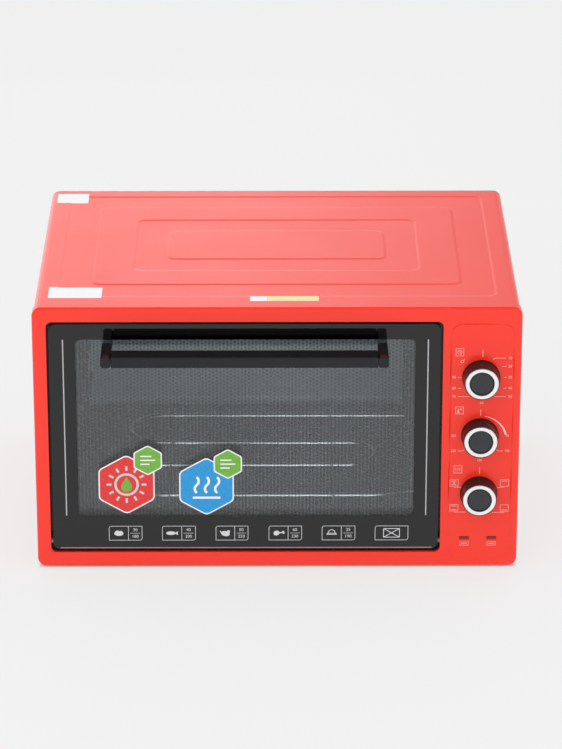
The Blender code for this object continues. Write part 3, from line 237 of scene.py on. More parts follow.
def make_relief():
    """Fine waviness of a surface as a normal."""
    tree, given, result = group(
        "relief",
        [("Vector", "NodeSocketVector", None), ("Scale", "NodeSocketFloat", 500.0),
         ("Strength", "NodeSocketFloat", 0.1), ("Height", "NodeSocketFloat", 0.0001)],
        [("Normal", "NodeSocketVector")],
    )
    noise = tree.nodes.new("ShaderNodeTexNoise")
    noise.inputs["Detail"].default_value = 2.0
    bump = tree.nodes.new("ShaderNodeBump")
    link(tree, given.outputs["Vector"], noise.inputs["Vector"])
    link(tree, given.outputs["Scale"], noise.inputs["Scale"])
    link(tree, noise.outputs[0], bump.inputs["Height"])
    link(tree, given.outputs["Strength"], bump.inputs["Strength"])
    link(tree, given.outputs["Height"], bump.inputs["Distance"])
    link(tree, bump.outputs[0], result.inputs["Normal"])
    return tree


def make_window_print():
    """Masks of the door glass: one over the printed border, one over the dots in the window."""
    tree, given, result = group(
        "window print",
        [("Vector", "NodeSocketVector", None)],
        [("Border", "NodeSocketFloat"), ("Dots", "NodeSocketFloat")],
    )
    left, right, low, high = WINDOW
    place = axes(tree, given.outputs["Vector"])
    x = math_node(tree, "SUBTRACT", place["X"], (left + right) / 2)
    z = math_node(tree, "SUBTRACT", place["Z"], up((low + high) / 2))
    # Distance past the window's rounded outline
    squares = []
    for value, half in ((x, (right - left) / 2), (z, (high - low) / 2)):
        beyond = math_node(tree, "SUBTRACT", math_node(tree, "ABSOLUTE", value), half - WINDOW_CORNER)
        squares.append(math_node(tree, "POWER", math_node(tree, "MAXIMUM", beyond, 0.0), 2.0))
    distance = math_node(tree, "SQRT", math_node(tree, "ADD", *squares))
    past = math_node(tree, "SUBTRACT", distance, WINDOW_CORNER)
    link(tree, ramp(tree, past, -PRINT_BLUR, PRINT_BLUR), result.inputs["Border"])
    # Two sets of dots, one shifted by half a cell both ways
    found = []
    for shift in (0.0, 0.5):
        squares = []
        for value, pitch in ((x, DOT_WIDTH), (z, DOT_HEIGHT)):
            cell = math_node(tree, "ADD", math_node(tree, "DIVIDE", value, pitch), shift)
            off = math_node(tree, "SUBTRACT", math_node(tree, "FRACT", cell), 0.5)
            off = math_node(tree, "MULTIPLY", math_node(tree, "ABSOLUTE", off), pitch)
            squares.append(math_node(tree, "POWER", off, 2.0))
        found.append(math_node(tree, "SQRT", math_node(tree, "ADD", *squares)))
    nearest = math_node(tree, "MINIMUM", *found)
    link(tree, ramp(tree, nearest, DOT_RADIUS * 1.15, DOT_RADIUS * 0.85), result.inputs["Dots"])
    return tree


CLOUD = make_cloud()
RELIEF = make_relief()
WINDOW_PRINT = make_window_print()


def use_group(tree, made, vector, **values):
    node = tree.nodes.new("ShaderNodeGroup")
    node.node_tree = made
    link(tree, vector, node.inputs["Vector"])
    for name, value in values.items():
        node.inputs[name].default_value = value
    return node


def started(name):
    """An empty material with its tree, Principled shader, output and object coordinates."""
    made = bpy.data.materials.new(name)
    made.use_nodes = True
    tree = made.node_tree
    tree.nodes.clear()
    output = tree.nodes.new("ShaderNodeOutputMaterial")
    shader = tree.nodes.new("ShaderNodeBsdfPrincipled")
    link(tree, shader.outputs[0], output.inputs["Surface"])
    place = tree.nodes.new("ShaderNodeTexCoord")
    return made, tree, shader, output, place.outputs["Object"]


def finish(name, colour, other, roughness, scale=60.0, peel=None, metallic=0.0, ior=1.5, coat=0.0):
    """A procedural finish: two close colours and two roughness values in soft noise, with a fine relief."""
    made, tree, shader, output, place = started(name)
    tint = use_group(tree, CLOUD, place, Scale=scale)
    link(tree, mix_colour(tree, tint.outputs[0], colour, other), shader.inputs["Base Color"])
    gloss = use_group(tree, CLOUD, place, Scale=scale * 1.7, Low=roughness[0], High=roughness[1])
    link(tree, gloss.outputs[0], shader.inputs["Roughness"])
    if peel:
        wave = use_group(tree, RELIEF, place, Scale=peel[0], Strength=peel[1], Height=peel[2])
        link(tree, wave.outputs[0], shader.inputs["Normal"])
    shader.inputs["Metallic"].default_value = metallic
    shader.inputs["IOR"].default_value = ior
    shader.inputs["Coat Weight"].default_value = coat
    return made


def pane(name, clear, border, dots, roughness=0.0, ior=1.5):
    """Glass that is seen through in the window and printed around it, and lets lamps shine through."""
    made, tree, shader, output, place = started(name)
    smear = use_group(tree, CLOUD, place, Scale=7.0, Low=0.92, High=1.0)
    tone = tree.nodes.new("ShaderNodeMix")
    tone.data_type = "RGBA"
    tone.blend_type = "MULTIPLY"
    tone.inputs[0].default_value = 1.0
    tone.inputs[6].default_value = (*clear, 1)
    link(tree, smear.outputs[0], tone.inputs[7])
    colour = tone.outputs[2]
    if border:
        masks = use_group(tree, WINDOW_PRINT, place)
        colour = mix_colour(tree, masks.outputs["Dots"], colour, dots)
        colour = mix_colour(tree, masks.outputs["Border"], colour, border)
    link(tree, colour, shader.inputs["Base Color"])
    shader.inputs["Roughness"].default_value = roughness
    shader.inputs["IOR"].default_value = ior
    shader.inputs["Transmission Weight"].default_value = 1.0
    through = tree.nodes.new("ShaderNodeBsdfTransparent")
    link(tree, colour, through.inputs["Color"])
    path = tree.nodes.new("ShaderNodeLightPath")
    both = tree.nodes.new("ShaderNodeMixShader")
    link(tree, path.outputs["Is Shadow Ray"], both.inputs[0])
    link(tree, shader.outputs[0], both.inputs[1])
    link(tree, through.outputs[0], both.inputs[2])
    link(tree, both.outputs[0], output.inputs["Surface"])
    return made


def paint_light_behind(made, colour, near, far):
    """Blends a finish into a lighter colour past a depth: painted light, such as on a cavity's back wall that
    the front light reaches head-on.
    """
    tree = made.node_tree
    shader = next(node for node in tree.nodes if node.type == "BSDF_PRINCIPLED")
    place = next(node for node in tree.nodes if node.type == "TEX_COORD")
    blend = ramp(tree, axes(tree, place.outputs["Object"])["Y"], at(near), at(far))
    given = shader.inputs["Base Color"].links[0].from_socket
    link(tree, mix_colour(tree, blend, given, colour), shader.inputs["Base Color"])


# Materials

PAINT = finish("warm red powder coat", (0.89, 0.028, 0.010), (0.87, 0.026, 0.009), (0.20, 0.27), 9.0,
               (900.0, 0.12, 0.0002))
ZINC_SHEET = finish("zinc coated sheet", (0.60, 0.61, 0.62), (0.42, 0.43, 0.45), (0.30, 0.48), 55.0,
                    (240.0, 0.1, 0.0002), metallic=1.0)
ENAMEL_WITH_BACK_LIGHT = finish("grey enamel, painted lighter on back wall", (0.085, 0.088, 0.092), (0.065, 0.068, 0.072), (0.20, 0.30), 120.0,
                (700.0, 0.15, 0.0002))
# Painted light: the cavity's back wall gets a lighter colour because the front light falls on it head-on,
# while floor and sides only get it grazing
paint_light_behind(ENAMEL_WITH_BACK_LIGHT, (0.40, 0.45, 0.47), 0.3405, 0.3440)
BLACK_ENAMEL = finish("black enamel", (0.016, 0.016, 0.018), (0.024, 0.024, 0.026), (0.25, 0.35), 80.0,
                      (700.0, 0.1, 0.0002))
DOOR_GLASS = pane("printed door glass", (0.80, 0.83, 0.85), (0.005, 0.004, 0.005), (0.50, 0.52, 0.54),
                  ior=1.47)
INNER_GLASS = pane("clear inner glass", (0.88, 0.92, 0.91), None, None)
SILICONE = finish("black silicone", (0.028, 0.028, 0.028), (0.022, 0.022, 0.022), (0.5, 0.6), 90.0)
SATIN_BLACK = finish("satin black plastic", (0.005, 0.005, 0.007), (0.008, 0.008, 0.010), (0.26, 0.32),
                     40.0, (1500.0, 0.12, 0.0001), ior=1.37)
GLOSS_BLACK = finish("gloss black plastic", (0.008, 0.008, 0.009), (0.011, 0.011, 0.012), (0.10, 0.16), 30.0,
                     (300.0, 0.03, 0.0001), ior=1.38)
KNOB_BLACK = finish("black knob plastic", (0.010, 0.010, 0.011), (0.013, 0.013, 0.014), (0.14, 0.20), 60.0,
                    (1400.0, 0.05, 0.0001), ior=1.33)
KNOB_CAP = finish("satin knob cap", (0.010, 0.012, 0.017), (0.014, 0.016, 0.022), (0.24, 0.32), 60.0,
                  (1400.0, 0.1, 0.0001))
KNOB_TRIM = finish("silver knob trim", (0.82, 0.80, 0.80), (0.78, 0.76, 0.76), (0.18, 0.26), 90.0,
                   metallic=1.0)
TUBE_STEEL = finish("bright sheathed element", (0.86, 0.86, 0.87), (0.74, 0.73, 0.72), (0.14, 0.22), 45.0,
                    (500.0, 0.1, 0.0002), metallic=1.0)
ZINC = finish("zinc plated steel", (0.42, 0.42, 0.41), (0.34, 0.34, 0.33), (0.38, 0.50), 150.0, metallic=1.0)
CREAM = finish("cream switch plastic", (0.72, 0.66, 0.55), (0.66, 0.61, 0.51), (0.40, 0.50), 70.0,
               (900.0, 0.1, 0.0001))
LENS_RED = finish("dark red lens", (0.20, 0.004, 0.004), (0.15, 0.003, 0.003), (0.10, 0.16), 200.0)
LAMP_GLASS = pane("small lamp glass", (0.92, 0.80, 0.72), None, None)
RUBBER = finish("black rubber", (0.020, 0.020, 0.020), (0.026, 0.026, 0.026), (0.60, 0.75), 160.0,
                (900.0, 0.2, 0.0002))

SLOT_FINISH = {
    "casing_red": PAINT, "galvanised_steel": ZINC_SHEET, "cavity_enamel": ENAMEL_WITH_BACK_LIGHT, "door_black": BLACK_ENAMEL,
    "door_glass": DOOR_GLASS, "inner_glass": INNER_GLASS, "silicone": SILICONE, "handle_black": SATIN_BLACK,
    "knob_black": KNOB_BLACK, "knob_ring": KNOB_TRIM, "heater_tube": TUBE_STEEL, "zinc_steel": ZINC,
    "switch_body": CREAM, "indicator_red": LENS_RED, "neon_lamp": LAMP_GLASS, "foot_rubber": RUBBER,
}
SLOT_OF = {row["node"]: row["material_slot"] for row in frame["record"]["subparts"]}
for name, node in frame["nodes"].items():
    node.data.materials.clear()
    node.data.materials.append(SLOT_FINISH[SLOT_OF[name]])


# Mesh helpers


def block(left, right, front, back, low, high):
    bm = bmesh.new()
    bmesh.ops.create_cube(bm, size=1.0)
    bmesh.ops.scale(bm, vec=(right - left, back - front, high - low), verts=bm.verts)
    middle = ((left + right) / 2, (front + back) / 2, (low + high) / 2)
    bmesh.ops.translate(bm, vec=middle, verts=bm.verts)
    return bm


def bevel(bm, edges, width, steps):
    bmesh.ops.bevel(
        bm, geom=edges, offset=width, offset_type="OFFSET", segments=steps, profile=0.5,
        affect="EDGES", clamp_overlap=True, material=-1,
    )


def along(bm, axis):
    """Edges that run along an axis, 0 for x, 1 for y and 2 for z."""
    return [e for e in bm.edges if abs((e.verts[1].co - e.verts[0].co).normalized()[axis]) > 0.999]


def rim(bm, axis, place, reach=0.00001):
    """Edges that lie in a plane across an axis and bound the face there."""
    return [
        e for e in bm.edges
        if all(abs(v.co[axis] - place) < reach for v in e.verts)
        and any(abs(f.normal[axis]) < 0.5 for f in e.link_faces)
    ]


def rounded_block(left, right, front, back, low, high, corner, steps=10, axis=1):
    bm = block(left, right, front, back, low, high)
    bevel(bm, along(bm, axis), corner, steps)
    bm.normal_update()
    return bm


def made_object(name, bm, material, smooth=True):
    bmesh.ops.recalc_face_normals(bm, faces=bm.faces)
    mesh = bpy.data.meshes.new(name)
    bm.to_mesh(mesh)
    bm.free()
    return placed(name, mesh, material, smooth)


def placed(name, mesh, material, smooth=True):
    made = bpy.data.objects.new(name, mesh)
    bpy.context.scene.collection.objects.link(made)
    mesh.materials.clear()
    mesh.materials.append(material)
    if smooth:
        mesh.shade_smooth()
        mesh.set_sharp_from_angle(angle=SMOOTH_ANGLE)
    return made


def settle(thing):
    """The object's mesh with its modifiers applied."""
    bpy.context.view_layer.update()
    graph = bpy.context.evaluated_depsgraph_get()
    mesh = bpy.data.meshes.new_from_object(thing.evaluated_get(graph))
    thing.modifiers.clear()
    thing.data = mesh
    return thing


def combine(thing, tool, operation="DIFFERENCE"):
    """Cut a tool mesh out of the object, or add it, and drop the tool."""
    modifier = thing.modifiers.new("shape", "BOOLEAN")
    modifier.operation = operation
    modifier.solver = "EXACT"
    modifier.object = tool
    settle(thing)
    bpy.data.objects.remove(tool)
    return thing


def soften(thing, width, steps=3, angle=30):
    """Rounded edges and even shading on a finished shape."""
    modifier = thing.modifiers.new("edges", "BEVEL")
    modifier.width = width
    modifier.segments = steps
    modifier.limit_method = "ANGLE"
    modifier.angle_limit = math.radians(angle)
    modifier.harden_normals = False
    settle(thing)
    thing.data.shade_smooth()
    thing.data.set_sharp_from_angle(angle=SMOOTH_ANGLE)
    weighted = thing.modifiers.new("shading", "WEIGHTED_NORMAL")
    weighted.keep_sharp = True
    return thing


def join(whole, part):
    """Adds a bmesh to another and frees it."""
    mesh = bpy.data.meshes.new("part")
    part.to_mesh(mesh)
    part.free()
    whole.from_mesh(mesh)
    bpy.data.meshes.remove(mesh)


def tool(bm):
    return made_object("tool", bm, PAINT, smooth=False)


def cylinder(x, y, z, radius, length, axis="y", steps=48):
    bm = bmesh.new()
    bmesh.ops.create_cone(
        bm, cap_ends=True, segments=steps, radius1=radius, radius2=radius, depth=length
    )
    quarter = math.pi / 2
    turn = {"x": Matrix.Rotation(quarter, 4, "Y"), "y": Matrix.Rotation(quarter, 4, "X"), "z": Matrix()}
    bmesh.ops.transform(bm, matrix=Matrix.Translation((x, y, z)) @ turn[axis], verts=bm.verts)
    return bm


def spun(profile, x, z, steps=96):
    """A body turned about a line along y; the profile gives radius and y."""
    bm = bmesh.new()
    points = [bm.verts.new((radius, y, 0)) for radius, y in profile]
    edges = [bm.edges.new(pair) for pair in zip(points, points[1:])]
    bmesh.ops.spin(
        bm, geom=points + edges, cent=(0, 0, 0), axis=(0, 1, 0), angle=math.tau, steps=steps, use_merge=True
    )
    bmesh.ops.remove_doubles(bm, verts=bm.verts, dist=0.000002)
    bmesh.ops.translate(bm, vec=(x, 0, z), verts=bm.verts)
    return bm


def finished(thing, body, slot, *nodes):
    """Let the object ride on a body and stand for the nodes, which it hides; the slot is not used."""
    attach(thing, body)
    if nodes:
        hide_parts(*nodes)
    return thing


def paint_faces(thing, material, wanted):
    """Gives the faces that a test picks a second material."""
    thing.data.materials.append(material)
    index = len(thing.data.materials) - 1
    for face in thing.data.polygons:
        if wanted(face):
            face.material_index = index


# Casing


def front_surround():
    """Pressed front sheet with rolled edge, door opening and sunk control panel."""
    start, end = FRAME_START, FRAME_END.copy()
    end.y = at(FRAME_FLANGE)
    outer = rounded_block(start.x, end.x, start.y, end.y, start.z, end.z, FRAME_CORNER, 12)
    bevel(outer, rim(outer, 1, start.y), FRAME_ROLL, 8)
    shell = made_object("front_surround", outer, PAINT)
    inner = rounded_block(
        start.x + SHEET, end.x - SHEET, start.y + SHEET, end.y + PAST, start.z + SHEET, end.z - SHEET,
        FRAME_CORNER - SHEET, 12,
    )
    bevel(inner, rim(inner, 1, start.y + SHEET), FRAME_ROLL - SHEET, 8)
    combine(shell, tool(inner))
    left, right, low, high = OPENING
    lip = rounded_block(
        left - SHEET, right + SHEET, start.y + SHEET / 2, start.y + OPENING_LIP, up(low) - SHEET,
        up(high) + SHEET, OPENING_CORNER + SHEET, 8,
    )
    combine(shell, tool(lip), "UNION")
    panel_left, panel_right, panel_low, panel_high = PANEL
    back = rounded_block(
        panel_left - 0.001, panel_right + 0.001, start.y + SHEET / 2, start.y + PANEL_RECESS + SHEET,
        up(panel_low) - 0.001, up(panel_high) + 0.001, PANEL_CORNER, 8,
    )
    combine(shell, tool(back), "UNION")
    hole = rounded_block(left, right, start.y - PAST, start.y + PAST, up(low), up(high), OPENING_CORNER, 8)
    combine(shell, tool(hole))
    sunk = rounded_block(
        panel_left, panel_right, start.y - PAST, start.y + PANEL_RECESS, up(panel_low), up(panel_high),
        PANEL_CORNER, 16,
    )
    flat = [f for f in sunk.faces if f.normal.y > 0.9]
    bmesh.ops.inset_region(sunk, faces=flat, thickness=PANEL_SLOPE, depth=0.0, use_even_offset=True)
    floor_faces = [f for f in sunk.faces if f.normal.y > 0.9]
    inner_face = max(floor_faces, key=lambda f: f.calc_area())
    inside = set(inner_face.verts)
    for vert in sunk.verts:
        if vert.co.y > start.y and vert not in inside:
            vert.co.y = start.y
    combine(shell, tool(sunk))
    for name in KNOBS:
        knob_start, knob_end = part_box(name + "_knob")
        centre = (knob_start + knob_end) / 2
        combine(shell, tool(cylinder(centre.x, start.y, centre.z, HOLE_RADIUS, 0.02)))
    wide = LENS_WIDTH / 2 + LENS_PLAY
    tall = LENS_HEIGHT / 2 + LENS_PLAY
    for name in ("power_lens", "heating_lens"):
        lens_start, lens_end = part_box(name)
        centre = (lens_start + lens_end) / 2
        combine(shell, tool(block(
            centre.x - wide, centre.x + wide, start.y - PAST, start.y + PAST, centre.z - tall, centre.z + tall
        )))
    soften(shell, 0.00035, 2, 25)
    return finished(shell, "cabinet", "casing_red", "front_frame")


front_surround()


def flat_top(bm):
    return max((f for f in bm.faces if f.normal.z > 0.9), key=lambda f: f.calc_area())


def ring_rect(inward):
    """Sides and depths of a pressed outline on top, by its distance inside the outermost one."""
    side = FRAME_END.x - EMBOSS_SIDE_MARGIN - inward
    return -side, side, at(EMBOSS_FRONT) + inward, at(EMBOSS_BACK) - inward


def pressed_steps():
    """Distance inward and drop of each outline of the two pressed rings on top."""
    steps = []
    for ring in (0, 2):
        for start, down in ((ring * EMBOSS_PITCH, True), ((ring + 1) * EMBOSS_PITCH - EMBOSS_SLOPE, False)):
            for part in range(EMBOSS_PARTS + 1):
                share = part / EMBOSS_PARTS
                eased = share * share * (3 - 2 * share)
                drop = EMBOSS_DEPTH * (eased if down else 1 - eased)
                steps.append((start + EMBOSS_SLOPE * share, drop))
    return steps


def pressed_drop(x, y):
    """Depth of the pressing at a point on top."""
    left, right, front, back = ring_rect(0)
    across = EMBOSS_CORNER - min(x - left, right - x)
    along_depth = EMBOSS_CORNER - min(y - front, back - y)
    inward = EMBOSS_CORNER - max(across, along_depth)
    if abs(across - along_depth) < EMBOSS_CORNER:
        inward = (math.sqrt(2 * EMBOSS_CORNER ** 2 - (across - along_depth) ** 2) - across - along_depth) / 2
    before = (0.0, 0.0)
    for step in pressed_steps():
        if inward < step[0]:
            share = max(inward - before[0], 0.0) / (step[0] - before[0]) if step[0] > before[0] else 0.0
            return before[1] + (step[1] - before[1]) * share
        before = step
    return 0.0


def pressed_field(top):
    """Top sheet inside the outermost outline, stepped down and up through the others."""
    steps = pressed_steps()
    now = ring_rect(0)
    field = rounded_block(*now, top - 0.01, top, EMBOSS_CORNER, 8, axis=2)
    face = flat_top(field)
    bmesh.ops.delete(field, geom=[f for f in field.faces if f is not face], context="FACES")
    for inward, drop in steps[1:]:
        after = ring_rect(inward)
        face = bmesh.ops.extrude_discrete_faces(field, faces=[face])["faces"][0]
        for vert in face.verts:
            for axis, low, high in ((0, 0, 1), (1, 2, 3)):
                upper = vert.co[axis] > (now[low] + now[high]) / 2
                vert.co[axis] += after[high] - now[high] if upper else after[low] - now[low]
            vert.co.z = top - drop
        now = after
    return field


def cooling_slots():
    """Cutters for the slots in both sides."""
    start, end = WRAP_START, WRAP_END
    slots = bmesh.new()
    for column in (-1, 1):
        middle = at(SLOT_DEPTH) + column * (SLOT_LENGTH + SLOT_GAP) / 2
        for row in range(4):
            low = up(SLOT_UP + row * SLOT_PITCH)
            one = rounded_block(
                start.x - PAST, end.x + PAST, middle - SLOT_LENGTH / 2, middle + SLOT_LENGTH / 2, low,
                low + SLOT_HEIGHT, SLOT_HEIGHT * 0.499, 6, axis=0,
            )
            join(slots, one)
    return slots


def casing_cover():
    """Folded top and sides, with pressed rings on top and cooling slots in both sides."""
    start, end = WRAP_START, WRAP_END
    outer = rounded_block(start.x, end.x, start.y, end.y, start.z, end.z, WRAP_CORNER, 12)
    face = flat_top(outer)
    around = list(face.edges)
    bmesh.ops.delete(outer, geom=[face], context="FACES_ONLY")
    join(outer, pressed_field(end.z))
    bmesh.ops.triangle_fill(outer, use_beauty=True, edges=[e for e in outer.edges if e.is_boundary])
    cover = made_object("casing_cover", outer, PAINT)
    inner = rounded_block(
        start.x + SHEET, end.x - SHEET, start.y - PAST, end.y + PAST, start.z + SHEET, end.z - TOP_SHEET,
        WRAP_CORNER - TOP_SHEET, 12,
    )
    combine(cover, tool(inner))
    middle = WRAP_OPEN_HALF
    under = block(-middle, middle, start.y - PAST, end.y + PAST, start.z - PAST, start.z + 0.002)
    combine(cover, tool(under))
    groove = cylinder(0, at(FRAME_FLANGE) + 0.0006, end.z + 0.0002, 0.0014, (end.x + PAST) * 2, "x", 32)
    combine(cover, tool(groove))
    combine(cover, tool(cooling_slots()))
    cover.data.shade_smooth()
    cover.data.set_sharp_from_angle(angle=math.radians(35))
    weighted = cover.modifiers.new("shading", "WEIGHTED_NORMAL")
    weighted.keep_sharp = True
    finished(cover, "cabinet", "casing_red", "cabinet_wrap")


casing_cover()


# Knobs


def knob(name):
    start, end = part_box(name + "_knob")
    ring_start, ring_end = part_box(name + "_knob_ring")
    x = (start.x + end.x) / 2
    z = (start.z + end.z) / 2
    cap = start.y + 0.0005
    seat = ring_start.y + RING_DEPTH
    profile = [
        (0.0, cap), (RING_BORE - 0.0012, cap), (RING_BORE - 0.0004, cap + 0.0007), (RING_BORE - 0.0003, seat),
        (RING_OUTER + 0.0001, seat), (RING_OUTER + 0.0002, ring_start.y + 0.0009),
        (KNOB_NECK, ring_start.y + 0.0014), (KNOB_NECK + 0.0003, end.y - 0.0045),
        (KNOB_BASE - 0.0003, end.y - 0.0018),
        (KNOB_BASE, end.y - 0.0012), (KNOB_BASE, end.y), (KNOB_BASE - 0.0024, end.y),
        (KNOB_BASE - 0.0034, end.y - 0.002), (KNOB_NECK - 0.0022, seat + 0.0022), (0.0, seat + 0.0022),
    ]
    body = made_object(name + "_dial_knob", spun(profile, x, z), KNOB_BLACK)
    soften(body, 0.0003, 2, 28)
    paint_faces(body, KNOB_CAP, lambda face: face.normal.y < -0.9 and face.center.y < seat)
    finished(body, name + "_dial", "knob_black", name + "_knob")
    trim = [
        (RING_BORE, ring_start.y + 0.0006), (RING_BORE + 0.0006, ring_start.y),
        (RING_OUTER - 0.0008, ring_start.y),
        (RING_OUTER, ring_start.y + 0.0008), (RING_OUTER, ring_end.y), (RING_BORE, ring_end.y),
        (RING_BORE, ring_start.y + 0.0006),
    ]
    ring = made_object(name + "_dial_trim", spun(trim, x, z), KNOB_TRIM)
    soften(ring, 0.00025, 2, 20)
    finished(ring, name + "_dial", "knob_ring", name + "_knob_ring")


for knob_name in KNOBS:
    knob(knob_name)


# Handle


def handle_bar():
    """Channel-shaped grip with a glossy top and a satin front."""
    start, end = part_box("handle_bar")
    bm = rounded_block(start.x, end.x, start.y, end.y, start.z, end.z, HANDLE_EDGE, 8, axis=0)
    bar = made_object("door_handle_grip", bm, SATIN_BLACK)
    hollow = rounded_block(
        start.x - 0.002, end.x + 0.002, start.y + HANDLE_WALL, end.y - HANDLE_WALL, start.z - 0.002,
        end.z - HANDLE_WALL, 0.001, 3, axis=0,
    )
    combine(bar, tool(hollow))
    paint_faces(bar, GLOSS_BLACK, lambda face: face.normal.z > 0.5)
    finished(bar, "door", "handle_black", "handle_bar")


def handle_post(name):
    """Post between the glass and the grip, arched on top."""
    start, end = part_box(name)
    bm = rounded_block(start.x, end.x, start.y, end.y, start.z, end.z, POST_CORNER, 8)
    bevel(bm, rim(bm, 1, start.y), 0.0009, 3)
    post = made_object(name.replace("bracket", "post"), bm, SATIN_BLACK)
    paint_faces(post, GLOSS_BLACK, lambda face: face.normal.z > 0.3)
    finished(post, "door", "handle_black", name)


handle_bar()
handle_post("handle_bracket_left")
handle_post("handle_bracket_right")


# Door glass


def door_pane():
    """Outer pane with an eased front edge."""
    start, end = GLASS_START, GLASS_END
    bm = rounded_block(start.x, end.x, start.y, end.y, start.z, end.z, GLASS_CORNER, 12)
    bevel(bm, rim(bm, 1, start.y), GLASS_BEVEL, 2)
    finished(made_object("door_pane", bm, DOOR_GLASS, smooth=False), "door", "door_glass", "door_glass")


door_pane()


# Indicator lenses


def lens(name):
    start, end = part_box(name)
    x = (start.x + end.x) / 2
    z = (start.z + end.z) / 2
    wide = LENS_WIDTH / 2
    tall = LENS_HEIGHT / 2
    bm = rounded_block(x - wide, x + wide, start.y, end.y, z - tall, z + tall, 0.0007, 4)
    bevel(bm, rim(bm, 1, start.y), 0.0004, 3)
    finished(made_object(name + "_window", bm, LENS_RED), "cabinet", "indicator_red", name)


lens("power_lens")
lens("heating_lens")


# Heaters

HEATER_PASSES = (0.0639, 0.1471, 0.2101, 0.2900)
HEATER_TURNS = (-0.127, 0.079)
HEATER_LEG = 0.0739
HEATER_RADIUS = 0.0035


def heater(name):
    """Bright serpentine tube with two legs through the cavity's right wall."""
    start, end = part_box(name)
    height = (start.z + end.z) / 2
    wall = end.x - 0.011
    route = [(wall, HEATER_LEG), (wall - 0.017, HEATER_LEG), (wall - 0.027, HEATER_LEG - 0.003),
             (wall - 0.040, HEATER_PASSES[0] + 0.002), (wall - 0.052, HEATER_PASSES[0])]
    for index, near in enumerate(HEATER_PASSES[:-1]):
        far = HEATER_PASSES[index + 1]
        centre = (near + far) / 2
        radius = (far - near) / 2
        side = HEATER_TURNS[index % 2]
        sense = -1 if index % 2 == 0 else 1
        for step in range(21):
            turn = math.radians(-90 + 9 * step)
            route.append((side + sense * radius * math.cos(turn), centre + radius * math.sin(turn)))
    route.append((wall, HEATER_PASSES[-1]))
    curve = bpy.data.curves.new(name, "CURVE")
    curve.dimensions = "3D"
    curve.bevel_depth = HEATER_RADIUS
    curve.bevel_resolution = 6
    curve.use_fill_caps = True
    spline = curve.splines.new("POLY")
    spline.points.add(len(route) - 1)
    for point, (x, depth) in zip(spline.points, route):
        point.co = (x, at(depth), height, 1.0)
    line = bpy.data.objects.new(name, curve)
    bpy.context.scene.collection.objects.link(line)
    settled = bpy.data.meshes.new_from_object(line)
    bpy.data.objects.remove(line)
    tube = placed(name + "_tube", settled, TUBE_STEEL)
    for depth in (HEATER_LEG, HEATER_PASSES[-1]):
        pin = made_object("pin", cylinder(wall + 0.0055, at(depth), height, 0.0016, 0.011, "x", 24), ZINC)
        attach(pin, "cabinet")
        pin.name = name + ("_front_pin" if depth == HEATER_LEG else "_back_pin")
    finished(tube, "cabinet", "heater_tube", name)


heater("lower_heater")
heater("upper_heater")


# Screws


def screws(name, rows, outward):
    """Pan-head cross screws at points of a wall; outward is the rotation that turns +z to face out."""
    head = made_object("head", cylinder(0, 0, 0.0008, SCREW_RADIUS, 0.0016, "z", 24), ZINC)
    for wide, deep in ((0.0034, 0.0008), (0.0008, 0.0034)):
        combine(head, tool(block(-wide / 2, wide / 2, -deep / 2, deep / 2, 0.0008, 0.003)))
    bm = bmesh.new()
    bm.from_mesh(head.data)
    bpy.data.objects.remove(head)
    bevel(bm, rim(bm, 2, 0.0016), 0.00035, 2)
    mesh = bpy.data.meshes.new("head")
    bm.to_mesh(mesh)
    bm.free()
    whole = bmesh.new()
    for row in rows:
        before = len(whole.verts)
        whole.from_mesh(mesh)
        whole.verts.ensure_lookup_table()
        bmesh.ops.transform(whole, matrix=Matrix.Translation(row) @ outward, verts=whole.verts[before:])
    bpy.data.meshes.remove(mesh)
    made = made_object(name, whole, ZINC)
    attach(made, "cabinet")


def all_screws():
    start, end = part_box("back_panel")
    rows = []
    for x in (start.x + SCREW_INSET, -0.085, 0.085, end.x - SCREW_INSET):
        rows += [(x, end.y, start.z + SCREW_INSET), (x, end.y, end.z - SCREW_INSET)]
    for x in (start.x + SCREW_INSET, end.x - SCREW_INSET):
        rows.append((x, end.y, (start.z + end.z) / 2))
    screws("back_screws", rows, Matrix.Rotation(-math.pi / 2, 4, "X"))
    for name, x, sense in (("left", WRAP_START.x + 0.0008, -1), ("right", WRAP_END.x - 0.0008, 1)):
        rows = [(x, at(depth), up(0.016)) for depth in (0.070, 0.200, 0.335)]
        screws(name + "_side_screws", rows, Matrix.Rotation(sense * math.pi / 2, 4, "Y"))


all_screws()


# Prints


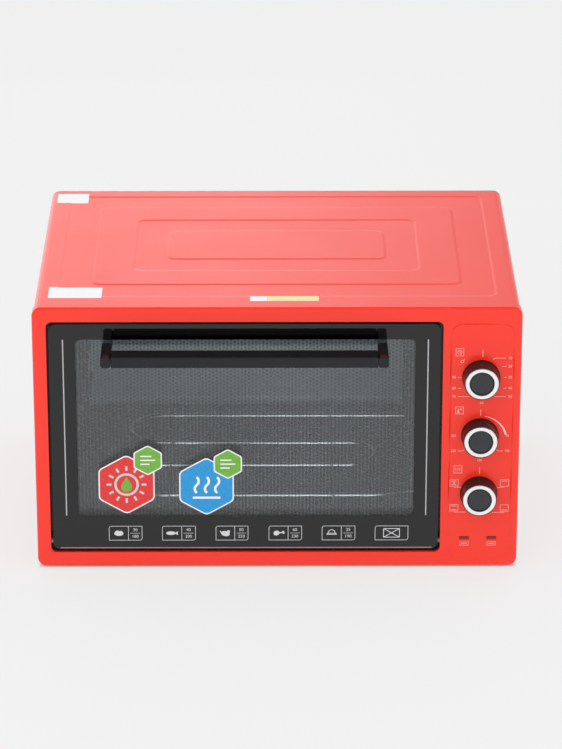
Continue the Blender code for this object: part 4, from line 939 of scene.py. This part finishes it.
class Ink:
    """Flat print drawn in millimetres across and above the casing's lower edge, from an own origin."""

    def __init__(self, x=0.0, z=0.0):
        self.bm = bmesh.new()
        self.origin = (x, z)
        self.layers = 0

    def keep(self, made, matrix):
        self.layers = (self.layers + 1) % 12
        moved = Matrix.Translation((*self.origin, self.layers * 0.001))
        bmesh.ops.transform(made, matrix=moved @ matrix, verts=made.verts)
        join(self.bm, made)

    def box(self, x, z, width, height, turn=0.0):
        made = bmesh.new()
        bmesh.ops.create_grid(made, x_segments=1, y_segments=1, size=0.5)
        bmesh.ops.scale(made, vec=(width, height, 1), verts=made.verts)
        self.keep(made, Matrix.Translation((x, z, 0)) @ Matrix.Rotation(math.radians(turn), 4, "Z"))
        return self

    def line(self, x0, z0, x1, z1, width=0.5):
        turn = math.degrees(math.atan2(z1 - z0, x1 - x0))
        length = math.hypot(x1 - x0, z1 - z0)
        return self.box((x0 + x1) / 2, (z0 + z1) / 2, length, width, turn)

    def disc(self, x, z, radius, squash=1.0, turn=0.0, sides=32):
        made = bmesh.new()
        bmesh.ops.create_circle(made, cap_ends=True, segments=sides, radius=radius)
        bmesh.ops.scale(made, vec=(1, squash, 1), verts=made.verts)
        self.keep(made, Matrix.Translation((x, z, 0)) @ Matrix.Rotation(math.radians(turn), 4, "Z"))
        return self

    def arc(self, x, z, radius, width, start=0.0, end=360.0, taper=1.0, steps=32):
        """A curved band; its width grows by taper from start to end."""
        made = bmesh.new()
        ends = [made.verts.new((radius - width / 2, 0, 0)), made.verts.new((radius + width / 2, 0, 0))]
        edge = made.edges.new(ends)
        sweep = math.radians(end - start)
        bmesh.ops.spin(made, geom=ends + [edge], cent=(0, 0, 0), axis=(0, 0, 1), angle=sweep, steps=steps)
        for vert in made.verts:
            angle = math.degrees(math.atan2(vert.co.y, vert.co.x)) % 360
            share = angle / (end - start) if end > start else (360 - angle) % 360 / (start - end)
            middle = vert.co.normalized() * radius
            vert.co = middle + (vert.co - middle) * (1 + (taper - 1) * min(share, 1.0))
        self.keep(made, Matrix.Translation((x, z, 0)) @ Matrix.Rotation(math.radians(start), 4, "Z"))
        return self

    def frame(self, left, right, low, high, width=0.5, cut=0.0):
        """Rectangle outline; cut rounds the upper left and lower right corners."""
        self.line(left, low, right - cut, low, width)
        self.line(left + cut, high, right, high, width)
        self.line(left, low - width / 2, left, high - cut, width)
        self.line(right, low + cut, right, high + width / 2, width)
        if cut:
            self.arc(left + cut, high - cut, cut, width, 90, 180, steps=6)
            self.arc(right - cut, low + cut, cut, width, 270, 360, steps=6)
        return self

    def number(self, text, x, z, size, width=1.0):
        """Plain figures, centred on a point."""
        curve = bpy.data.curves.new("figures", "FONT")
        curve.body = text
        curve.size = size
        curve.align_x = "CENTER"
        curve.align_y = "CENTER"
        curve.resolution_u = 3
        shown = bpy.data.objects.new("figures", curve)
        bpy.context.scene.collection.objects.link(shown)
        bpy.context.view_layer.update()
        mesh = bpy.data.meshes.new_from_object(shown)
        bpy.data.objects.remove(shown)
        made = bmesh.new()
        made.from_mesh(mesh)
        bpy.data.meshes.remove(mesh)
        self.keep(made, Matrix.Translation((x, z, 0)) @ Matrix.Diagonal((width, 1, 1, 1)))
        return self

    def put(self, name, y, material, body, slot):
        """Stands the print upright at a depth and lets it ride on a body."""
        upright = Matrix.Rotation(math.pi / 2, 4, "X")
        size = Matrix.Scale(MM, 4)
        bmesh.ops.transform(self.bm, matrix=size, verts=self.bm.verts)
        bmesh.ops.transform(self.bm, matrix=Matrix.Translation((0, y, BOTTOM)) @ upright, verts=self.bm.verts)
        bmesh.ops.remove_doubles(self.bm, verts=self.bm.verts, dist=0.0000003)
        made = made_object(name, self.bm, material, smooth=False)
        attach(made, body)
        return made


PANEL_INK = finish("pale panel print", (0.94, 0.50, 0.46), (0.90, 0.44, 0.40), (0.35, 0.45), 300.0)
GLASS_INK = finish("grey glass print", (0.66, 0.67, 0.69), (0.58, 0.59, 0.61), (0.30, 0.40), 300.0)
LINE_INK = finish("pale glass line", (0.47, 0.48, 0.50), (0.41, 0.42, 0.44), (0.30, 0.40), 300.0)
# Painted highlight: a pinkish colour for the glass's lower edge catching light from the floor and the red
# sill
EDGE_HIGHLIGHT_INK = finish("painted glass edge highlight", (0.36, 0.18, 0.18), (0.28, 0.14, 0.14), (0.35, 0.45), 60.0)
PANEL_FACE = at(PANEL_RECESS) - PRINT_GAP
GLASS_FACE = GLASS_START.y - PRINT_GAP


def pictogram(ink, x, z, half, kind):
    """Small framed sign beside a control: clock, degrees or heat."""
    ink.frame(x - half, x + half, z - half, z + half, 0.45)
    if kind == "clock":
        ink.arc(x, z, half * 0.55, 0.4)
        ink.line(x, z, x, z + half * 0.4, 0.4)
        ink.line(x, z, x + half * 0.35, z, 0.4)
    elif kind == "heat":
        ink.box(x - half * 0.3, z - half * 0.1, half * 0.25, half * 1.1)
        ink.disc(x - half * 0.3, z - half * 0.5, half * 0.28)
        ink.arc(x + half * 0.35, z + half * 0.3, half * 0.22, 0.35)
    else:
        for shift in (-0.5, 0.0, 0.5):
            ink.line(x + half * shift, z - half * 0.5, x + half * shift, z + half * 0.5, 0.4)
    return ink


def element_sign(ink, x, z, kind):
    """Framed sign of the heating elements that a position turns on."""
    ink.frame(x - 4.4, x + 4.4, z - 3.8, z + 3.8, 0.45)
    if kind in ("top", "both", "fan"):
        ink.line(x - 2.8, z + 2.2, x + 2.8, z + 2.2, 0.6)
    if kind in ("bottom", "both", "fan"):
        ink.line(x - 2.8, z - 2.2, x + 2.8, z - 2.2, 0.6)
    if kind == "fan":
        ink.arc(x, z, 1.0, 0.45)
    return ink


def panel_prints():
    ink = Ink(-1.2, 0.65)
    pictogram(ink, 195.2, 249.8, 4.1, "clock")
    ink.arc(198.0, 239.2, 1.5, 0.5).line(199.4, 240.6, 200.6, 242.0, 0.5)
    ink.line(219.7, 244.2, 219.7, 252.4, 0.6)
    ink.line(230.6, 241.8, 233.6, 243.1).line(233.6, 243.1, 244.4, 243.1)
    ink.line(240.5, 233.6, 245.0, 233.6)
    for z, near in ((221.0, 242.6), (208.5, 242.4)):
        ink.line(near, z, 245.4, z)
        ink.line(197.5 - (near - 242.4), z, 193.6, z)
    ink.line(233.0, 198.9, 245.2, 198.9).line(206.0, 198.9, 194.0, 198.9)
    for text, x, z in (("10", 248.8, 243.1), ("20", 248.9, 233.6), ("30", 249.1, 221.0), ("40", 249.4, 208.5),
                       ("50", 249.6, 198.9), ("60", 219.4, 191.6), ("70", 189.7, 198.9), ("80", 189.5, 208.5),
                       ("90", 189.3, 221.0)):
        ink.number(text, x, z, 4.0)
    pictogram(ink, 196.0, 183.0, 4.1, "heat")
    ink.line(218.8, 176.8, 218.8, 183.7, 0.6)
    ink.arc(218.3, 148.0, 28.6, 0.5, 80, 14, 5.0)
    for text, x, z in (("90", 247.8, 153.4), ("140", 247.8, 135.8), ("180", 218.5, 124.8),
                       ("220", 190.3, 135.8), ("250", 190.0, 153.4)):
        ink.number(text, x, z, 4.0, 0.9)
    ink.line(238.5, 135.8, 243.5, 135.8).line(199.0, 135.8, 195.0, 135.8)
    ink.line(199.0, 135.8, 202.0, 137.2).line(238.5, 135.8, 235.6, 137.2)
    pictogram(ink, 195.5, 114.3, 4.3, "bars")
    ink.line(218.9, 109.0, 218.9, 116.3, 0.6)
    for x, z, kind, near in ((191.7, 98.3, "fan", 199.6), (246.1, 98.2, "top", 238.2),
                             (192.0, 69.0, "both", 205.0), (246.4, 68.6, "bottom", 233.4)):
        element_sign(ink, x, z, kind)
        ink.line(x, z - 5.1, near, z - 5.1, 0.45)
    for x in (203.7, 233.1):
        ink.frame(x - 4.6, x + 4.6, 24.6, 28.6, 0.4)
        ink.line(x - 2.8, 26.6, x + 2.8, 26.6, 0.7)
    ink.put("panel_prints", PANEL_FACE, PANEL_INK, "cabinet", "casing_red")


def meal_sign(ink, x, z, kind):
    """Simple outline of a dish."""
    if kind == "pie":
        ink.disc(x, z - 0.4, 5.0, 0.55).disc(x - 1.6, z + 1.3, 2.4, 0.8).disc(x + 2.0, z + 1.1, 2.2, 0.8)
    elif kind == "fish":
        ink.disc(x - 1.2, z, 5.2, 0.42).disc(x + 5.0, z, 2.6, 1.0, 90, 3).disc(x - 4.4, z + 0.2, 1.6, 0.8)
    elif kind == "bird":
        ink.disc(x, z - 0.6, 4.8, 0.62, -12).disc(x + 3.4, z + 1.8, 1.7)
        ink.line(x - 3.5, z + 0.5, x - 6.0, z + 2.4, 1.1)
    elif kind == "leg":
        ink.disc(x - 2.2, z, 3.3, 0.85, 20).line(x, z, x + 4.6, z + 0.9, 1.2).disc(x + 5.1, z + 1.5, 1.1)
        ink.disc(x + 5.4, z + 0.1, 1.1)
    else:
        ink.arc(x, z + 0.2, 3.6, 0.8, 0, 180).line(x - 5.4, z - 1.6, x + 5.4, z - 1.6, 0.9)
        ink.line(x - 4.6, z - 0.2, x + 4.6, z - 0.2, 0.7).line(x - 5.4, z - 1.6, x - 4.0, z + 0.2, 0.8)
        ink.line(x + 5.4, z - 1.6, x + 4.0, z + 0.2, 0.8)


def glass_prints():
    ink = Ink()
    low, high = 31.6, 48.2
    rows = ((-181.9, -146.3, "pie", "30", "180"), (-124.3, -88.5, "fish", "40", "200"),
            (-66.3, -31.6, "bird", "50", "220"), (-8.9, 26.5, "leg", "60", "230"),
            (48.6, 84.2, "bread", "25", "190"))
    for left, right, kind, minutes, degrees in rows:
        divider = left + (right - left) * 0.585
        ink.frame(left, right, low, high, 0.55, 2.6)
        ink.line(divider, low, divider, high, 0.55)
        meal_sign(ink, (left + divider) / 2, (low + high) / 2, kind)
        ink.number(minutes, (divider + right) / 2, high - 4.4, 5.0)
        ink.number(degrees, (divider + right) / 2, low + 4.4, 5.0)
        ink.line(divider + 2.0, (low + high) / 2, right - 2.0, (low + high) / 2, 0.4)
    left, right = 106.0, 141.6
    ink.frame(left, right, low, high, 0.55, 2.6)
    middle = (left + right) / 2
    ink.frame(middle - 8.6, middle + 8.6, low + 3.2, high - 3.2, 0.8)
    ink.line(middle - 8.6, low + 3.2, middle + 8.6, high - 3.2, 0.8)
    ink.line(middle - 8.6, high - 3.2, middle + 8.6, low + 3.2, 0.8)
    ink.put("meal_prints", GLASS_FACE, GLASS_INK, "door", "door_glass")
    lines = Ink()
    for x in (-227.5, 160.4):
        lines.line(x, 61.0, x, 265.0, 1.2)
    lines.put("side_lines", GLASS_FACE, LINE_INK, "door", "door_glass")
    # Painted highlight along the glass's lower edge, drawn as a flat line on the glass face
    rim_light = Ink().line(-235.0, 22.7, 167.5, 22.7, 1.3)
    rim_light.put("lower_glass_edge_highlight", GLASS_FACE, EDGE_HIGHLIGHT_INK, "door", "door_glass")


panel_prints()
glass_prints()


# Stickers and labels

PAPER_WHITE = finish("white sticker paper", (0.86, 0.87, 0.88), (0.82, 0.83, 0.84), (0.35, 0.45), 200.0)
STICKER_RED = finish("red sticker", (0.72, 0.028, 0.025), (0.66, 0.024, 0.022), (0.22, 0.30), 120.0)
STICKER_BLUE = finish("blue sticker", (0.012, 0.30, 0.66), (0.010, 0.27, 0.60), (0.22, 0.30), 120.0)
STICKER_GREEN = finish("green sticker", (0.16, 0.42, 0.045), (0.14, 0.38, 0.040), (0.22, 0.30), 120.0)
STICKER_GREY = finish("silver sticker ink", (0.60, 0.62, 0.64), (0.52, 0.54, 0.56), (0.22, 0.30), 120.0)
PAPER_YELLOW = finish("pale yellow label paper", (0.84, 0.78, 0.36), (0.80, 0.74, 0.32), (0.40, 0.50), 200.0)
STICKER_GAP = 0.00010


def hexagon(ink, x, z, radius):
    """Hexagon on its point, with slightly rounded corners."""
    made = bmesh.new()
    bmesh.ops.create_circle(made, cap_ends=True, segments=6, radius=radius)
    bmesh.ops.bevel(
        made, geom=list(made.verts), offset=radius * 0.10, segments=4, profile=0.5, affect="VERTICES",
        material=-1,
    )
    ink.keep(made, Matrix.Translation((x, z, 0)))
    return ink


def sticker(name, x, z, radius, colour, layer=0):
    """White-edged sticker on the door glass; returns the depth of its printed face."""
    y = GLASS_FACE - (1 + 2 * layer) * STICKER_GAP
    hexagon(Ink(), x, z, radius).put(name + "_edge", y, PAPER_WHITE, "door", "door_glass")
    hexagon(Ink(), x, z, radius - 1.6).put(name, y - STICKER_GAP / 2, colour, "door", "door_glass")
    return y - STICKER_GAP


def stickers():
    y = sticker("heat_sticker", -162.2, 97.5, 34.8, STICKER_RED)
    rays = Ink()
    rays.arc(-162.2, 97.5, 12.0, 2.6)
    for turn in range(0, 360, 30):
        angle = math.radians(turn)
        near, far = 16.2, 21.5
        rays.line(
            -162.2 + near * math.cos(angle), 97.5 + near * math.sin(angle), -162.2 + far * math.cos(angle),
            97.5 + far * math.sin(angle), 2.4,
        )
    rays.put("heat_sticker_sun", y, STICKER_GREY, "door", "door_glass")
    drop = Ink().disc(-162.2, 94.5, 5.8).disc(-162.2, 100.6, 6.0, sides=3)
    drop.put("heat_sticker_flame", y, STICKER_GREEN, "door", "door_glass")
    y = sticker("steam_sticker", -76.1, 95.2, 34.0, STICKER_BLUE)
    waves = Ink()
    for shift in (-11.0, 0.0, 11.0):
        waves.arc(-76.1 + shift - 3.4, 101.5, 6.0, 2.6, -50, 50, steps=12)
        waves.arc(-76.1 + shift + 4.3, 92.3, 6.0, 2.6, 130, 230, steps=12)
    waves.line(-91.0, 82.0, -61.2, 82.0, 2.6)
    waves.put("steam_sticker_waves", y, PAPER_WHITE, "door", "door_glass")
    for name, x, z in (("heat_badge", -139.0, 126.0), ("steam_badge", -53.0, 121.5)):
        y = sticker(name, x, z, 17.6, STICKER_GREEN, layer=1)
        bars = Ink()
        for row, width in enumerate((12.0, 16.0, 10.0)):
            bars.box(x - 8.0 + width / 2, z + 4.6 - row * 4.6, width, 1.5)
        bars.put(name + "_bars", y, PAPER_WHITE, "door", "door_glass")


def label(name, left, right, near, far, material, height=0.00012):
    """Paper label that follows the casing top, by its sides and its depths, in millimetres."""
    bm = bmesh.new()
    bmesh.ops.create_grid(bm, x_segments=60, y_segments=60, size=0.5)
    bmesh.ops.scale(bm, vec=((right - left) * MM, (far - near) * MM, 1), verts=bm.verts)
    middle = ((left + right) / 2 * MM, at((near + far) / 2 * MM), WRAP_END.z + height)
    bmesh.ops.translate(bm, vec=middle, verts=bm.verts)
    for vert in bm.verts:
        vert.co.z -= pressed_drop(vert.co.x, vert.co.y)
    made = made_object(name, bm, material)
    paper = made.modifiers.new("paper", "SOLIDIFY")
    paper.thickness = height - 0.00003
    paper.offset = -1.0
    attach(made, "cabinet")


stickers()
label("back_left_label", -250.8, -215.0, 339.0, 370.2, PAPER_WHITE)
label("front_left_label", -244.2, -187.0, 34.2, 67.3, PAPER_WHITE)
label("front_strip_label", -28.7, -10.2, 24.8, 39.4, PAPER_WHITE)
label("front_strip_label_field", -10.1, 44.6, 24.8, 39.4, PAPER_YELLOW)


# Light, floor and camera


def outside_footprint(tree, place):
    """0 under the casing and 1 outside it, so that the contact shadow stays."""
    spot = axes(tree, place)
    across = math_node(tree, "SUBTRACT", math_node(tree, "ABSOLUTE", spot["X"]), FRAME_END.x)
    before = math_node(tree, "SUBTRACT", at(SHADOW_SETBACK), spot["Y"])
    behind = math_node(tree, "SUBTRACT", spot["Y"], WRAP_END.y - SHADOW_SETBACK)
    past = math_node(tree, "MAXIMUM", across, math_node(tree, "MAXIMUM", before, behind))
    return ramp(tree, past, -0.003, 0.001)


def floor():
    """Pale floor that glows for the camera and in reflections, and keeps the shadow."""
    bm = bmesh.new()
    bmesh.ops.create_grid(bm, x_segments=1, y_segments=1, size=8.0)
    made, tree, shader, output, place = started("pale floor")
    speck = use_group(tree, CLOUD, place, Scale=2.0, Low=0.83, High=0.84)
    link(tree, speck.outputs[0], shader.inputs["Base Color"])
    shader.inputs["Roughness"].default_value = 0.6
    shader.inputs["Specular IOR Level"].default_value = 0.2
    path = tree.nodes.new("ShaderNodeLightPath")
    glossy = path.outputs["Is Glossy Ray"]
    strength = math_node(tree, "MULTIPLY_ADD", glossy, FLOOR_REFLECTION_GAIN, 1.0)
    seen = math_node(tree, "ADD", path.outputs["Is Camera Ray"], glossy)
    seen = math_node(tree, "MULTIPLY", seen, FLOOR_GLOW_SHARE)
    seen = math_node(tree, "MULTIPLY", seen, outside_footprint(tree, place))
    both = tree.nodes.new("ShaderNodeMixShader")
    link(tree, seen, both.inputs[0])
    link(tree, shader.outputs[0], both.inputs[1])
    link(tree, glow(tree, FLOOR_GLOW, strength), both.inputs[2])
    link(tree, both.outputs[0], output.inputs["Surface"])
    made_object("floor", bm, made, smooth=False)


floor()

world = bpy.data.worlds.new("white room")
bpy.context.scene.world = world
world.use_nodes = True
sky = world.node_tree.nodes["Background"]
sky.inputs["Color"].default_value = (1.0, 1.0, 1.0, 1)
sky.inputs["Strength"].default_value = SKY_LIGHT


def lamp(name, place, size, power):
    """Square lamp that shines on the casing's middle and isn't seen in reflections."""
    data = bpy.data.lights.new(name, "AREA")
    data.shape = "SQUARE"
    data.size = size
    data.energy = power
    made = bpy.data.objects.new(name, data)
    made.location = place
    made.rotation_euler = (Vector(LAMP_TARGET) - Vector(place)).to_track_quat("-Z", "Y").to_euler()
    made.visible_glossy = False
    bpy.context.scene.collection.objects.link(made)


lamp("front key", (-1.1, -2.6, 2.2), 1.6, 15.0)
lamp("overhead", (0, 0, 2.3), 1.2, 5.5)
lamp("low front fill", (0.2, -3.4, 0.40), 1.6, 27.0)


def reflected_only(name, bm, material):
    """A surface that only reflections see."""
    made = made_object(name, bm, material, smooth=False)
    made.visible_camera = False
    made.visible_diffuse = False
    made.visible_shadow = False
    made.visible_transmission = False


def back_screen():
    """Bright screen behind, brightest to the left."""
    bm = bmesh.new()
    bmesh.ops.create_grid(bm, x_segments=1, y_segments=1, size=0.5)
    bmesh.ops.scale(bm, vec=(4.6, 1.3, 1), verts=bm.verts)
    bmesh.ops.rotate(bm, cent=(0, 0, 0), matrix=Matrix.Rotation(math.pi / 2, 3, "X"), verts=bm.verts)
    bmesh.ops.translate(bm, vec=(-0.4, 1.6, 0.55), verts=bm.verts)
    made, tree, shader, output, place = started("bright screen")
    strength = ramp(tree, axes(tree, place)["X"], 0.45, -0.05, SCREEN_DIM, SCREEN_BRIGHT)
    link(tree, glow(tree, 1.0, strength), output.inputs["Surface"])
    reflected_only("screen", bm, made)


def dark_ceiling():
    """Dark card overhead, for the casing's rolled edges and black plastic."""
    bm = bmesh.new()
    bmesh.ops.create_grid(bm, x_segments=1, y_segments=1, size=0.5)
    bmesh.ops.scale(bm, vec=(6.0, 3.4, 1), verts=bm.verts)
    bmesh.ops.translate(bm, vec=(0, 0.3, 2.6), verts=bm.verts)
    made, tree, shader, output, place = started("dark ceiling")
    link(tree, glow(tree, CEILING_GLOW), output.inputs["Surface"])
    reflected_only("ceiling", bm, made)


back_screen()
dark_ceiling()

LENS = 173.26
TILT = math.radians(67.903)
TURN = math.radians(-0.1916)
CAMERA_PLACE = (-0.00777, at(-3.55183), up(1.66760))
camera_data = bpy.data.cameras.new("camera")
camera_data.lens = LENS
camera_data.sensor_width = 36.0
camera = bpy.data.objects.new("camera", camera_data)
camera.location = CAMERA_PLACE
camera.rotation_euler = (TILT, 0, TURN)
bpy.context.scene.collection.objects.link(camera)
scene = bpy.context.scene
scene.camera = camera
scene.view_settings.view_transform = "Standard"
